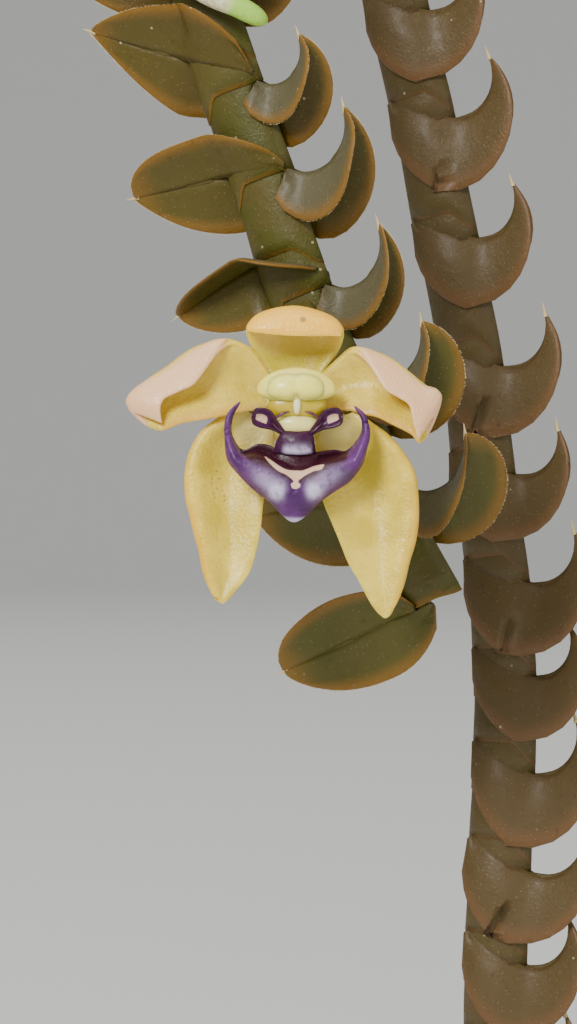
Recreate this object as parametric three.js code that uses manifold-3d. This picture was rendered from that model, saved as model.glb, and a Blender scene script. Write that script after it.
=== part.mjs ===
// A pendent orchid in a slatted wooden basket on a wire hanger.
// Two-ranked leafy stems arch over the rim and hang, and one flower opens near the end of a front stem.
// Units are millimetres. +Z is up and the flower faces -Y. The origin is the inside crown of the hook.
import * as THREE from "three";
import { mergeVertices } from "three/addons/utils/BufferGeometryUtils.js";
import Module from "manifold-3d";

const wasm = await Module();
wasm.setup();

// Driving dimensions
const hangDrop = 220; // from the hook's inside crown down to the underside of the basket
const slat = { length: 100, width: 9, height: 8, gap: 0.2, inset: 9, holeRadius: 1.5 };
const tierCount = 6;
const floorSlatSpacing = 20.5;
const tierPitch = slat.height + slat.gap;
const rimHeight = tierCount * tierPitch - slat.gap;
const slatCentre = slat.length / 2 - slat.inset;
const floorTop = 2 * tierPitch - slat.gap;

const pinRadius = 1;
const pinEyeRadius = 3.2;
const stayRadius = 0.8;
const hook = { wireRadius: 1.3, insideRadius: 10, ringRadius: 7, shankEnd: -38 };

const moss = { halfWidth: 40.4, mound: 7, grain: 1.1, squareness: 0.42 };

const mossDepth = 19; // how far a stem runs down into its hole in the moss
const cane = { bareRadius: 1.4, holeRadius: 2.5, halfWide: 2.5, halfThick: 1.3 };
const leaf = { length: 11.4, halfWidth: 3.8, thickness: 0.6, widest: 0.38, baseShare: 0.3 };
const flowerCentre = new THREE.Vector3(0.6, -86, -62); // in the basket's frame, like everything below
const tepalThickness = 0.7;

const woodColour = 0x9a7148;
const steelColour = 0x9da1a3;
const mossColour = 0x8c7f4a;
const leafColour = 0x6d6a2f;
const tepalColour = 0xe3c878;
const lipColour = 0x5a2a66;
const columnColour = 0xeee2a0;

// Vectors and numbers

function vec(x, y, z) {
  return new THREE.Vector3(x, y, z);
}

function sum(...terms) {
  const total = vec(0, 0, 0);
  for (const [vector, share] of terms) total.addScaledVector(vector, share);
  return total;
}

function blend(a, b, share) {
  return a + (b - a) * share;
}

function easeBetween(low, high, x) {
  const t = Math.min(1, Math.max(0, (x - low) / (high - low)));
  return t * t * (3 - 2 * t);
}

function radians(degrees) {
  return (degrees * Math.PI) / 180;
}

// Solids

// A closed skin over rows of points: neighbouring rows are joined all the way round, and the first and last row are capped.
function loft(rings) {
  const count = rings[0].length;
  const positions = [];
  const triangle = (a, b, c) => positions.push(...a.toArray(), ...b.toArray(), ...c.toArray());
  for (let i = 0; i < rings.length - 1; i++) {
    for (let j = 0; j < count; j++) {
      const k = (j + 1) % count;
      triangle(rings[i][j], rings[i][k], rings[i + 1][k]);
      triangle(rings[i][j], rings[i + 1][k], rings[i + 1][j]);
    }
  }
  const first = rings[0];
  const last = rings[rings.length - 1];
  for (let j = 1; j < count / 2; j++) {
    const [a, c, d] = [j - 1, count - j, count - 1 - j];
    triangle(first[a], first[c], first[j]);
    triangle(first[j], first[c], first[d]);
    triangle(last[a], last[j], last[c]);
    triangle(last[j], last[d], last[c]);
  }
  const geometry = new THREE.BufferGeometry();
  geometry.setAttribute("position", new THREE.Float32BufferAttribute(positions, 3));
  return geometry;
}

function toSolid(geometry) {
  const bare = new THREE.BufferGeometry();
  const source = geometry.index ? geometry.toNonIndexed() : geometry;
  bare.setAttribute("position", source.getAttribute("position"));
  const merged = mergeVertices(bare, 1e-3);
  const kept = [];
  const index = merged.index.array;
  const corner = (i) => new THREE.Vector3().fromBufferAttribute(merged.attributes.position, i);
  let volume = 0;
  for (let i = 0; i < index.length; i += 3) {
    const [a, b, c] = [index[i], index[i + 1], index[i + 2]];
    if (a === b || b === c || c === a) continue;
    kept.push(a, b, c);
    volume += corner(a).dot(corner(b).cross(corner(c)));
  }
  if (volume < 0) kept.reverse();
  const mesh = new wasm.Mesh({
    numProp: 3,
    vertProperties: new Float32Array(merged.attributes.position.array),
    triVerts: new Uint32Array(kept),
  });
  return new wasm.Manifold(mesh);
}

function toGeometry(solid) {
  const mesh = solid.getMesh();
  const positions = new Float32Array(mesh.numVert * 3);
  for (let i = 0; i < mesh.numVert; i++) {
    const start = i * mesh.numProp;
    positions.set(mesh.vertProperties.subarray(start, start + 3), i * 3);
  }
  const geometry = new THREE.BufferGeometry();
  geometry.setAttribute("position", new THREE.BufferAttribute(positions, 3));
  geometry.setIndex(new THREE.BufferAttribute(new Uint32Array(mesh.triVerts), 1));
  return geometry;
}

// Joins closed geometries into one body, and drops any scrap that ends up loose from it.
function fuse(geometries) {
  const joined = geometries.map(toSolid).reduce((a, b) => a.add(b));
  const bodies = joined.decompose();
  return bodies.reduce((a, b) => (a.volume() > b.volume() ? a : b));
}

// A thin sheet over a grid of points, given thickness along the grid's own normals. A last row that meets in one point closes it.
function sheet(grid, thickness) {
  const rows = grid.length;
  const columns = grid[0].length;
  const normals = grid.map((row, i) =>
    row.map((_, j) => {
      const alongRows = grid[Math.min(i + 1, rows - 1)][j].clone().sub(grid[Math.max(i - 1, 0)][j]);
      const across = row[Math.min(j + 1, columns - 1)].clone().sub(row[Math.max(j - 1, 0)]);
      const normal = alongRows.cross(across);
      if (normal.lengthSq() < 1e-12) return null;
      return normal.normalize();
    }),
  );
  const rings = grid.map((row, i) => {
    const offset = (point, j, side) => {
      const normal = normals[i][j] ?? normals[i - 1]?.[j] ?? vec(0, 0, 0);
      const pointed = i === rows - 1 && row[0].distanceTo(row[columns - 1]) < 1e-6;
      return pointed ? point.clone() : sum([point, 1], [normal, (side * thickness) / 2]);
    };
    const top = row.map((point, j) => offset(point, j, 1));
    const bottom = row.map((point, j) => offset(point, j, -1)).reverse();
    return [...top, ...bottom];
  });
  return loft(rings);
}

// A round wire through the given points, turning without twist from each to the next. Radii may change along it.
function wire(points, radius, sides) {
  const rings = [];
  let across = null;
  for (let i = 0; i < points.length; i++) {
    const before = points[Math.max(i - 1, 0)];
    const after = points[Math.min(i + 1, points.length - 1)];
    const along = after.clone().sub(before).normalize();
    if (!across) across = Math.abs(along.x) < 0.7 ? vec(1, 0, 0) : vec(0, 1, 0);
    across = sum([across, 1], [along, -across.dot(along)]).normalize();
    const side = along.clone().cross(across);
    const size = Array.isArray(radius) ? radius[i] : radius;
    const ring = [];
    for (let j = 0; j < sides; j++) {
      const angle = (j / sides) * 2 * Math.PI;
      ring.push(sum([points[i], 1], [across, size * Math.cos(angle)], [side, size * Math.sin(angle)]));
    }
    rings.push(ring);
  }
  return loft(rings);
}

function named(name, geometry, colour, roughness, metalness = 0) {
  const mesh = new THREE.Mesh(geometry, new THREE.MeshStandardMaterial({ color: colour, roughness, metalness }));
  mesh.name = name;
  return mesh;
}

// Basket slats

function slatSolid(drilled) {
  let solid = toSolid(new THREE.BoxGeometry(slat.length, slat.width, slat.height));
  for (const end of drilled ? [-1, 1] : []) {
    const drill = new THREE.CylinderGeometry(slat.holeRadius, slat.holeRadius, slat.height + 2, 8);
    drill.rotateX(Math.PI / 2);
    drill.translate(end * slatCentre, 0, 0);
    solid = solid.subtract(toSolid(drill));
  }
  return toGeometry(solid);
}

function slats() {
  const made = [];
  const place = (name, tier, offset, alongX, drilled) => {
    const mesh = named(name, slatSolid(drilled), woodColour, 0.8);
    mesh.position.set(alongX ? 0 : offset, alongX ? offset : 0, tier * tierPitch + slat.height / 2);
    mesh.rotation.z = alongX ? 0 : Math.PI / 2;
    made.push(mesh);
  };
  for (let tier = 0; tier < tierCount; tier++) {
    const alongX = tier % 2 === 1;
    const sides = alongX ? ["front", "back"] : ["left", "right"];
    place(`slat_${sides[0]}_${tier + 1}`, tier, -slatCentre, alongX, true);
    place(`slat_${sides[1]}_${tier + 1}`, tier, slatCentre, alongX, true);
  }
  for (const row of [-1, 0, 1]) place(`floor_slat_${row + 2}`, 1, row * floorSlatSpacing, true, false);
  return made;
}

// Hook and hanger wires

function hookSolid() {
  const crownRadius = hook.insideRadius + hook.wireRadius;
  const points = [];
  for (let degrees = 205; degrees >= -40; degrees -= 24.5) {
    const angle = radians(degrees);
    points.push(vec(crownRadius * Math.cos(angle), 0, crownRadius * Math.sin(angle) - hook.insideRadius));
  }
  points.push(vec(1.6, 0, -26), vec(0, 0, -31), vec(0, 0, hook.shankEnd));
  const bend = wire(points, hook.wireRadius, 8);
  const ring = new THREE.TorusGeometry(hook.ringRadius, hook.wireRadius, 7, 16);
  ring.rotateX(Math.PI / 2);
  ring.translate(0, 0, hook.shankEnd - hook.ringRadius);
  return toGeometry(fuse([bend, ring]));
}

// Corner pins go up through the drilled slat ends, from a bent foot below to an open eye above.
function pinPoints(signX, signY) {
  const corner = vec(signX * slatCentre, signY * slatCentre, 0);
  const across = vec(-signY, signX, 0).normalize();
  const eyeHeight = rimHeight + 1.6 + pinEyeRadius;
  const points = [sum([corner, 1], [across, 5]), corner.clone()].map((p) => p.setZ(-pinRadius - 0.3));
  points[1].addScaledVector(across, 0.9);
  points.push(corner.clone().setZ(0.6), corner.clone().setZ(rimHeight * 0.5), corner.clone().setZ(rimHeight + 0.8));
  for (let degrees = -70; degrees <= 200; degrees += 45) {
    const angle = radians(degrees);
    const sideways = pinEyeRadius * Math.cos(angle);
    points.push(sum([corner, 1], [across, sideways]).setZ(eyeHeight + pinEyeRadius * Math.sin(angle)));
  }
  return points;
}

// The hanger stays hook over the top of each eye and over the bottom of the hook's ring.
function stayPoints(signX, signY, ringDegrees) {
  const ringCentre = vec(0, 0, hook.shankEnd - hook.ringRadius + hangDrop);
  const ringAngle = radians(ringDegrees);
  const onRing = sum([ringCentre, 1], [vec(Math.cos(ringAngle), 0, Math.sin(ringAngle)), hook.ringRadius]);
  const eyeTop = vec(signX * slatCentre, signY * slatCentre, rimHeight + 1.6 + 2 * pinEyeRadius);
  const up = onRing.clone().sub(eyeTop).normalize();
  const inward = vec(-signX, -signY, 0).normalize();
  const loopAt = (centre, radius, direction, normal, from) => {
    const sideways = direction.clone().cross(normal).normalize();
    const points = [];
    for (let step = 0; step <= 6; step++) {
      const angle = radians(from + step * 45);
      points.push(sum([centre, 1], [sideways, radius * Math.cos(angle)], [direction, radius * Math.sin(angle)]));
    }
    return points;
  };
  const lowNormal = up.clone().cross(inward).normalize();
  const low = loopAt(eyeTop, 2.3, up, lowNormal, 90);
  const ringTangent = vec(-Math.sin(ringAngle), 0, Math.cos(ringAngle));
  const down = up.clone().negate();
  const highNormal = sum([ringTangent, 1], [down, -ringTangent.dot(down)]).normalize();
  const high = loopAt(onRing, 2.7, down, highNormal, 90).reverse();
  return [...low, ...high];
}

function hanger() {
  const steel = (name, geometry) => named(name, geometry, steelColour, 0.35, 1);
  const made = [];
  const corners = [
    ["front_left", -1, -1, 228],
    ["back_left", -1, 1, 256],
    ["back_right", 1, 1, 284],
    ["front_right", 1, -1, 312],
  ];
  for (const [place, signX, signY, ringDegrees] of corners) {
    made.push(steel(`corner_pin_${place}`, wire(pinPoints(signX, signY), pinRadius, 6)));
    made.push(steel(`hanger_wire_${place}`, wire(stayPoints(signX, signY, ringDegrees), stayRadius, 5)));
  }
  const bend = steel("hook", hookSolid());
  bend.position.z = hangDrop;
  made.push(bend);
  return made;
}

// Stems: each is a curve through hand-placed points, from its root in the moss to its tip.
// rank is the way its right-hand leaves point, front is the way their upper faces turn.
const outwardFront = vec(0, -1, 0);
const stems = {
  stem_flowering: {
    path: [[-11, -20, 44], [-11.5, -27, 59], [-12.5, -43, 70], [-13.5, -59, 65], [-14, -69, 46], [-13, -73, 22],
      [-10.5, -75, -2], [-6, -77, -23], [-3.5, -77, -29.8], [-1.4, -77, -36.4], [0.2, -77, -43.6], [2.3, -77, -50.2],
      [4.6, -77, -58.9], [7.4, -77, -67.6], [10.3, -77, -73.4]],
    rank: vec(0.9, -0.43, 0), front: outwardFront, gap: 3.9, twist: [70, 45], bend: [[12, -14], [50, -80]],
  },
  stem_front_long: {
    path: [[7, -22, 44], [7.5, -31, 58], [8, -45, 67], [7.5, -58, 60], [6, -62, 42], [4.5, -62, 15], [5.6, -61, -8],
      [8.4, -60, -26.8], [10.3, -60, -34.7], [12.3, -60, -44.9], [14.2, -60, -54.3], [15.4, -60, -64.5],
      [16.6, -60, -73.9], [17, -60, -81.8], [16.6, -60, -93.5], [16.2, -60, -107.2], [17, -60, -116]],
    rank: vec(0.55, -0.83, 0), front: outwardFront, gap: 3.9, twist: [10, 5], bend: [[45, -75], [45, -75]],
  },
  stem_front_left: {
    path: [[-25, -16, 44], [-28.5, -26, 58], [-33, -44, 67], [-37, -58, 60], [-40, -66, 40], [-43, -68, 12],
      [-46, -68, -18], [-47, -67, -52]],
    rank: vec(0.8, 0.6, 0), front: outwardFront, gap: 6, twist: [40, 40], bend: [[30, -40], [30, -50]],
  },
  stem_front_right: {
    path: [[24, -14, 44], [27, -26, 58], [30, -44, 66], [33.5, -58, 58], [38, -65, 38], [42, -66, 12], [44, -65, -26]],
    rank: vec(1, -0.2, 0), front: outwardFront, gap: 6, twist: [40, 40], bend: [[30, -40], [30, -50]],
  },
  stem_left: {
    path: [[-26, 6, 44], [-36, 4, 60], [-48, 1, 66], [-60, -3, 58], [-67, -6, 38], [-69, -8, 8], [-70, -8, -28],
      [-69, -10, -66]],
    rank: vec(0.2, -1, 0), front: vec(-1, 0, 0), gap: 6, twist: [40, 40], bend: [[30, -40], [30, -50]],
  },
  stem_right: {
    path: [[26, 2, 44], [36, 4, 59], [48, 8, 65], [60, 10, 57], [67, 11, 37], [69, 12, 8], [69, 11, -42]],
    rank: vec(0.1, 1, 0), front: vec(1, 0, 0), gap: 6, twist: [40, 40], bend: [[30, -40], [30, -50]],
  },
  stem_back_left: {
    path: [[-14, 18, 44], [-18, 30, 60], [-23, 46, 67], [-28, 60, 60], [-34, 68, 38], [-42, 70, 12], [-49, 69, -16],
      [-52, 68, -40]],
    rank: vec(-1, 0.1, 0), front: vec(0, 1, 0), gap: 6, twist: [40, 40], bend: [[30, -40], [30, -50]],
  },
  stem_back_right: {
    path: [[17, 20, 44], [20, 32, 59], [24, 46, 66], [29, 60, 59], [36, 68, 38], [45, 70, 10], [51, 70, -20],
      [53, 69, -60]],
    rank: vec(-1, -0.2, 0), front: vec(0, 1, 0), gap: 6, twist: [40, 40], bend: [[30, -40], [30, -50]],
  },
  stem_back_short: {
    path: [[1, 26, 44], [1, 36, 58], [0, 48, 65], [-1, 60, 58], [-2, 67, 38], [-3, 69, 4]],
    rank: vec(-1, 0, 0), front: vec(0, 1, 0), gap: 6, twist: [40, 40], bend: [[30, -40], [30, -50]],
  },
  stem_young_left: {
    path: [[-9, 2, 46], [-10, 0, 62], [-14, -3, 78], [-22, -5, 88], [-31, -6, 86]],
    rank: vec(0.1, 1, 0.1), front: vec(0, 0, 1), gap: 6, twist: [20, 20], bend: [[30, -30], [30, -30]],
  },
  stem_young_right: {
    path: [[9, 5, 46], [10, 6, 64], [13, 9, 80], [19, 12, 92]],
    rank: vec(0.6, -0.8, 0), front: vec(0.8, 0.6, 0.2), gap: 6, twist: [20, 20], bend: [[30, -30], [30, -30]],
  },
};
const leaflessLength = 40;

function stemCurve(stem) {
  return new THREE.CatmullRomCurve3(stem.path.map((p) => vec(...p)), false, "centripetal");
}

// The stem's own axes at a share of its length: along points to its tip, rank to its right-hand leaves.
function stemAxes(stem, curve, share) {
  const along = curve.getTangentAt(share);
  const rank = sum([stem.rank, 1], [along, -stem.rank.dot(along)]).normalize();
  return { centre: curve.getPointAt(share), along, rank, side: along.clone().cross(rank) };
}

function leafOutline(share) {
  if (share < leaf.widest) return blend(leaf.baseShare, 1, easeBetween(0, leaf.widest, share));
  const past = (share - leaf.widest) / (1 - leaf.widest);
  return Math.max(0, 1 - past ** 1.9) ** 0.9;
}

// A leaf folded along its midrib: it leaves the sheath pointing on along the stem, then bends back.
function leafGrid(stem, axes, hand, shares) {
  const outward = axes.rank.clone().multiplyScalar(hand);
  const facing = axes.side.dot(stem.front) < 0 ? axes.side.clone().negate() : axes.side.clone();
  const kind = hand < 0 ? 0 : 1;
  const [bendFrom, bendTo] = stem.bend[kind];
  const rows = [];
  const midrib = sum([axes.centre, 1], [outward, cane.halfWide * 0.35]);
  const steps = 24;
  let previous = 0;
  for (const share of shares) {
    for (let step = previous * steps + 0.5; step < share * steps; step++) {
      const angle = radians(blend(bendFrom, bendTo, step / steps));
      midrib.addScaledVector(outward, (Math.cos(angle) * leaf.length) / steps);
      midrib.addScaledVector(axes.along, (Math.sin(angle) * leaf.length) / steps);
    }
    previous = share;
    const angle = radians(blend(bendFrom, bendTo, share));
    const upper = sum([outward, -Math.sin(angle)], [axes.along, Math.cos(angle)]);
    const twist = radians(stem.twist[kind] * blend(0.4, 1, easeBetween(0, 0.5, share)));
    const normal = sum([upper, Math.cos(twist)], [facing, Math.sin(twist)]);
    const width = sum([facing, Math.cos(twist)], [upper, -Math.sin(twist)]);
    const fold = radians(blend(48, 16, easeBetween(0, 0.8, share)));
    const half = leaf.halfWidth * leafOutline(share);
    const edge = (sign) =>
      sum([midrib, 1], [width, sign * half * Math.cos(fold)], [normal, half * Math.sin(fold)]);
    rows.push([edge(-1), midrib.clone(), edge(1)]);
  }
  return rows;
}

function stemSolid(stem) {
  const curve = stemCurve(stem);
  const length = curve.getLength();
  const rings = [];
  const ringAt = (distance, wide, thick) => {
    const axes = stemAxes(stem, curve, distance / length);
    const ring = [];
    for (let i = 0; i < 4; i++) {
      const angle = (i * Math.PI) / 2;
      ring.push(sum([axes.centre, 1], [axes.rank, wide * Math.cos(angle)], [axes.side, thick * Math.sin(angle)]));
    }
    rings.push(ring);
  };
  ringAt(0, cane.bareRadius, cane.bareRadius);
  ringAt(leaflessLength * 0.55, cane.bareRadius, cane.bareRadius);
  const sheathSteps = Math.round((length - leaflessLength) / 12);
  for (let i = 0; i <= sheathSteps; i++) {
    const distance = blend(leaflessLength - 6, length - 0.5, i / sheathSteps);
    const taper = 1 - 0.35 * easeBetween(length - 9, length, distance);
    ringAt(distance, cane.halfWide * taper, cane.halfThick * taper);
  }
  const pieces = [loft(rings)];
  const leafCount = Math.floor((length - leaflessLength) / stem.gap);
  for (let i = 0; i <= leafCount; i++) {
    const axes = stemAxes(stem, curve, (length - 0.8 - i * stem.gap) / length);
    const hand = i % 2 === 0 ? -1 : 1;
    pieces.push(sheet(leafGrid(stem, axes, hand, [0, 0.42, 1]), leaf.thickness));
  }
  return { pieces, leafCount };
}

function leafyStems() {
  const made = [];
  for (const [name, stem] of Object.entries(stems)) {
    const { pieces } = stemSolid(stem);
    if (name === "stem_flowering") pieces.push(...flowerStalk());
    made.push(named(name, toGeometry(fuse(pieces)), leafColour, 0.55));
  }
  return made;
}

// The flower's stalk leaves the flowering stem beside a leaf and ends just behind the flower.
function flowerStalk() {
  const points = [vec(2.3, -77, -51), vec(2, -79, -53.5), vec(1.5, -80.6, -57), vec(0.9, -82.2, -59.5), vec(0.6, -84, -60.1)];
  return [wire(points, [0.5, 0.5, 0.55, 0.8, 0.9], 6)];
}

// Flower: points are right, up and toward the viewer from the flower's centre.
function inFlower([right, up, forward]) {
  return vec(flowerCentre.x + right, flowerCentre.y - forward, flowerCentre.z + up);
}

// Rows from base to tip, each from the lower edge over the middle and the upper edge to the flap folded forward.
const petalLeft = [
  [[-2.29, 2.29, 0.2], [-2.22, 3.06, -0.2], [-2.15, 3.82, 0.3], [-2.15, 3.75, 0.9]],
  [[-4.79, 1.67, 1.2], [-4.38, 3.82, -0.3], [-3.89, 6.74, 0.3], [-4.93, 6.11, 1.7]],
  [[-7.01, 1.32, 1.6], [-6.81, 3.47, 0.2], [-6.6, 6.32, 0.6], [-7.01, 3.96, 2]],
  [[-8.54, 0.9, 1.6], [-8.82, 2.5, 0.6], [-9.38, 4.38, 0.8], [-9.1, 2.78, 2.1]],
  [[-9.44, 0.62, 1.8], [-10.35, 1.67, 1], [-11.46, 3.06, 1], [-9.51, 1.53, 2.3]],
];
const petalRight = [
  [[2.29, 2.22, 0.2], [2.08, 3.06, -0.2], [1.88, 3.82, 0.3], [2.01, 3.75, 0.9]],
  [[4.79, 1.6, 1.2], [4.24, 3.82, -0.3], [3.47, 6.11, 0.3], [4.51, 5.83, 1.7]],
  [[6.74, 0.97, 1.6], [6.04, 3.33, 0.2], [5.28, 6.04, 0.6], [6.04, 3.61, 2]],
  [[7.85, 0.35, 1.6], [7.78, 2.08, 0.6], [7.64, 4.38, 0.8], [7.43, 2.71, 2.1]],
  [[8.4, -0.28, 1.8], [9.03, 1.11, 1], [9.58, 2.99, 1], [8.06, 0.83, 2.3]],
];
const sepalLeft = [
  [[-4.24, 2.08, 0.2], [-3.12, 1.94, -0.4], [-1.88, 1.11, 0.2]],
  [[-7.01, -0.42, 0.6], [-4.65, -0.69, -0.6], [-2.01, -1.53, 0.4]],
  [[-7.71, -3.06, 1], [-5.07, -3.47, -0.4], [-2.15, -3.89, 0.6]],
  [[-7.29, -6.25, 1.2], [-5.07, -6.25, 0.2], [-2.64, -6.94, 0.9]],
  [[-6.46, -9.17, 1.4], [-5.07, -9.31, 1], [-3.33, -9.31, 1.2]],
  [[-5.21, -11.25, 1.8], [-5.21, -11.25, 1.8], [-5.21, -11.25, 1.8]],
];
const sepalRight = [
  [[4.38, 1.81, 0.2], [2.99, 1.94, -0.4], [1.74, 1.11, 0.2]],
  [[6.94, -0.62, 0.6], [4.38, -0.69, -0.6], [1.6, -1.53, 0.4]],
  [[8.19, -3.47, 1], [5.21, -3.75, -0.4], [1.6, -4.03, 0.6]],
  [[8.06, -6.81, 1.2], [5.35, -6.67, 0.2], [2.71, -6.6, 0.9]],
  [[7.36, -9.44, 1.4], [5.9, -9.58, 1], [4.17, -9.58, 1.2]],
  [[6.18, -12.36, 1.8], [6.18, -12.36, 1.8], [6.18, -12.36, 1.8]],
];
const sepalTop = [
  [[-1.46, 3.61, 0], [0, 3.47, -0.6], [1.6, 3.61, 0]],
  [[-2.85, 5.56, 0.4], [0, 5.28, -0.9], [2.85, 5.42, 0.4]],
  [[-3.61, 7.08, 0.9], [0, 6.94, -0.6], [3.4, 6.67, 0.9]],
  [[-2.29, 8.33, 1.5], [-0.07, 8.61, 0.4], [2.15, 8.06, 1.5]],
  [[-0.14, 9.24, 1.6], [-0.14, 9.24, 1.6], [-0.14, 9.24, 1.6]],
];
// The lip's blade is a crescent, in rows from its left horn round to its right horn: inner edge, ridge, outer edge.
const lipBlade = [
  [[-3.96, 2.5, 2.2], [-4.1, 2.43, 2.4], [-4.24, 2.29, 2.2]],
  [[-4.17, 0.69, 1.9], [-4.58, 0.56, 3], [-4.93, 0.42, 2.2]],
  [[-3.75, -0.62, 1.7], [-4.24, -1.25, 3.4], [-4.72, -1.74, 2.5]],
  [[-2.57, -0.42, 1.7], [-2.99, -2.08, 3.6], [-3.75, -3.06, 2.8]],
  [[-0.9, -0.76, 2], [-1.25, -2.78, 3.6], [-2.01, -4.17, 3]],
  [[0, -0.97, 2.1], [0, -3.33, 3.6], [-0.14, -5.62, 3.3]],
  [[1.04, -0.83, 2], [1.25, -2.78, 3.6], [1.94, -4.03, 3]],
  [[2.57, -0.76, 1.7], [2.99, -1.81, 3.6], [3.68, -2.85, 2.8]],
  [[3.68, -0.42, 1.7], [4.24, -0.9, 3.4], [4.79, -1.25, 2.5]],
  [[4.17, 0.83, 1.9], [4.51, 0.62, 3], [4.93, 0.42, 2.2]],
  [[3.96, 2.15, 2.2], [4.24, 2.01, 2.4], [4.44, 1.88, 2.2]],
];
// The claw joins the blade to the column, with an ear lobe on each side.
const lipClaw = [
  [[-1.25, 0, 2.5], [0, 0.1, 2.6], [1.25, 0, 2.5]],
  [[-1.1, -0.5, 2.4], [0, -0.5, 2.5], [1.1, -0.5, 2.4]],
  [[-1.3, -1.4, 2.4], [0, -1.5, 2.5], [1.3, -1.4, 2.4]],
];
const lipEar = [
  [[-1.4, -0.7, 2.4], [-0.9, -0.6, 2.5], [-0.5, -0.4, 2.5]],
  [[-2.7, 0.8, 2.9], [-2.1, 0.7, 3], [-1.5, 0.8, 3.3]],
  [[-3.1, 1.6, 2.8], [-2.2, 1.6, 3], [-1.35, 1.6, 3.6]],
  [[-2.7, 2.3, 2.8], [-2.2, 2.4, 3], [-1.7, 2.3, 3.5]],
];

function ellipsoid(centre, radii, segments) {
  const ball = new THREE.SphereGeometry(1, segments, Math.round(segments * 0.6));
  ball.scale(radii[0], radii[2], radii[1]);
  const place = inFlower(centre);
  ball.translate(place.x, place.y, place.z);
  return ball;
}

function flower() {
  const inPlace = (rows) => sheet(rows.map((row) => row.map(inFlower)), tepalThickness);
  const mirrored = (rows) => rows.map((row) => row.map(([right, up, forward]) => [-right, up, forward]));
  const tepals = [petalLeft, petalRight, sepalLeft, sepalRight, sepalTop].map(inPlace);
  tepals.push(ellipsoid([0, 2.3, -0.7], [3.9, 2.6, 1], 8));
  const lip = [lipBlade, lipClaw, lipEar, mirrored(lipEar)].map(inPlace);
  const column = [ellipsoid([0, 3.75, 2.55], [2.7, 1.2, 1.1], 10), ellipsoid([0, 1.65, 1.85], [2, 1.2, 1.15], 8)];
  column.push(ellipsoid([0, 2.6, 1.9], [1.7, 1, 0.9], 8));
  return [
    named("tepals", toGeometry(fuse(tepals)), tepalColour, 0.5),
    named("lip", toGeometry(fuse(lip)), lipColour, 0.45),
    named("column", toGeometry(fuse(column)), columnColour, 0.4),
  ];
}

// Moss filling, with a plain hole for each stem

function mossSolid() {
  const geometry = new THREE.SphereGeometry(1, 20, 11);
  const position = geometry.getAttribute("position");
  const point = vec(0, 0, 0);
  const bottom = floorTop + 0.4;
  const middle = (bottom + rimHeight) / 2;
  const square = (x) => Math.sign(x) * Math.abs(x) ** moss.squareness;
  for (let i = 0; i < position.count; i++) {
    point.fromBufferAttribute(position, i);
    const [x, y, z] = [square(point.x), square(point.z), point.y];
    const grain = moss.grain * Math.sin(11 * x + 2 * z) * Math.sin(9 * y - 3 * z + 1);
    const reach = moss.halfWidth - moss.grain + grain;
    const height = z < 0 ? bottom - middle : rimHeight - middle + moss.mound * (1 - 0.5 * (x * x + y * y));
    const lift = square(Math.abs(z)) * (z < 0 ? 1 : 1 + 0.03 * grain);
    point.set(x * reach, -y * reach, middle + height * lift);
    position.setXYZ(i, point.x, point.y, point.z);
  }
  let solid = toSolid(geometry);
  for (const alongX of [true, false]) {
    for (let tier = alongX ? 3 : 2; tier < tierCount; tier += 2) {
      for (const side of [-1, 1]) {
        const room = new THREE.BoxGeometry(slat.length, slat.width + 0.8, slat.height + 0.8);
        if (!alongX) room.rotateZ(Math.PI / 2);
        const offset = side * (slatCentre + 0.1);
        room.translate(alongX ? 0 : offset, alongX ? offset : 0, tier * tierPitch + slat.height / 2);
        solid = solid.subtract(toSolid(room));
      }
    }
  }
  for (const stem of Object.values(stems)) {
    const curve = stemCurve(stem);
    const top = curve.getPointAt(mossDepth / curve.getLength());
    const foot = curve.getPointAt(0);
    const away = sum([top, 1], [foot, -1]).normalize();
    const hole = new THREE.CylinderGeometry(cane.holeRadius, cane.holeRadius, 40, 6);
    hole.applyQuaternion(new THREE.Quaternion().setFromUnitVectors(vec(0, 1, 0), away));
    const centre = sum([foot, 1], [away, 20 - 0.6]);
    hole.translate(centre.x, centre.y, centre.z);
    solid = solid.subtract(toSolid(hole));
  }
  return toGeometry(solid.decompose().reduce((a, b) => (a.volume() > b.volume() ? a : b)));
}

// The plant in its basket

const basket = new THREE.Group();
basket.position.z = -hangDrop;
basket.add(...slats(), ...hanger(), ...leafyStems(), ...flower());
basket.add(named("moss", mossSolid(), mossColour, 0.95));

const part = new THREE.Group();
part.add(basket);

export default part;
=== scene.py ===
import math
import random

import bpy
import numpy as np
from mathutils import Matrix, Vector, noise


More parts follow.
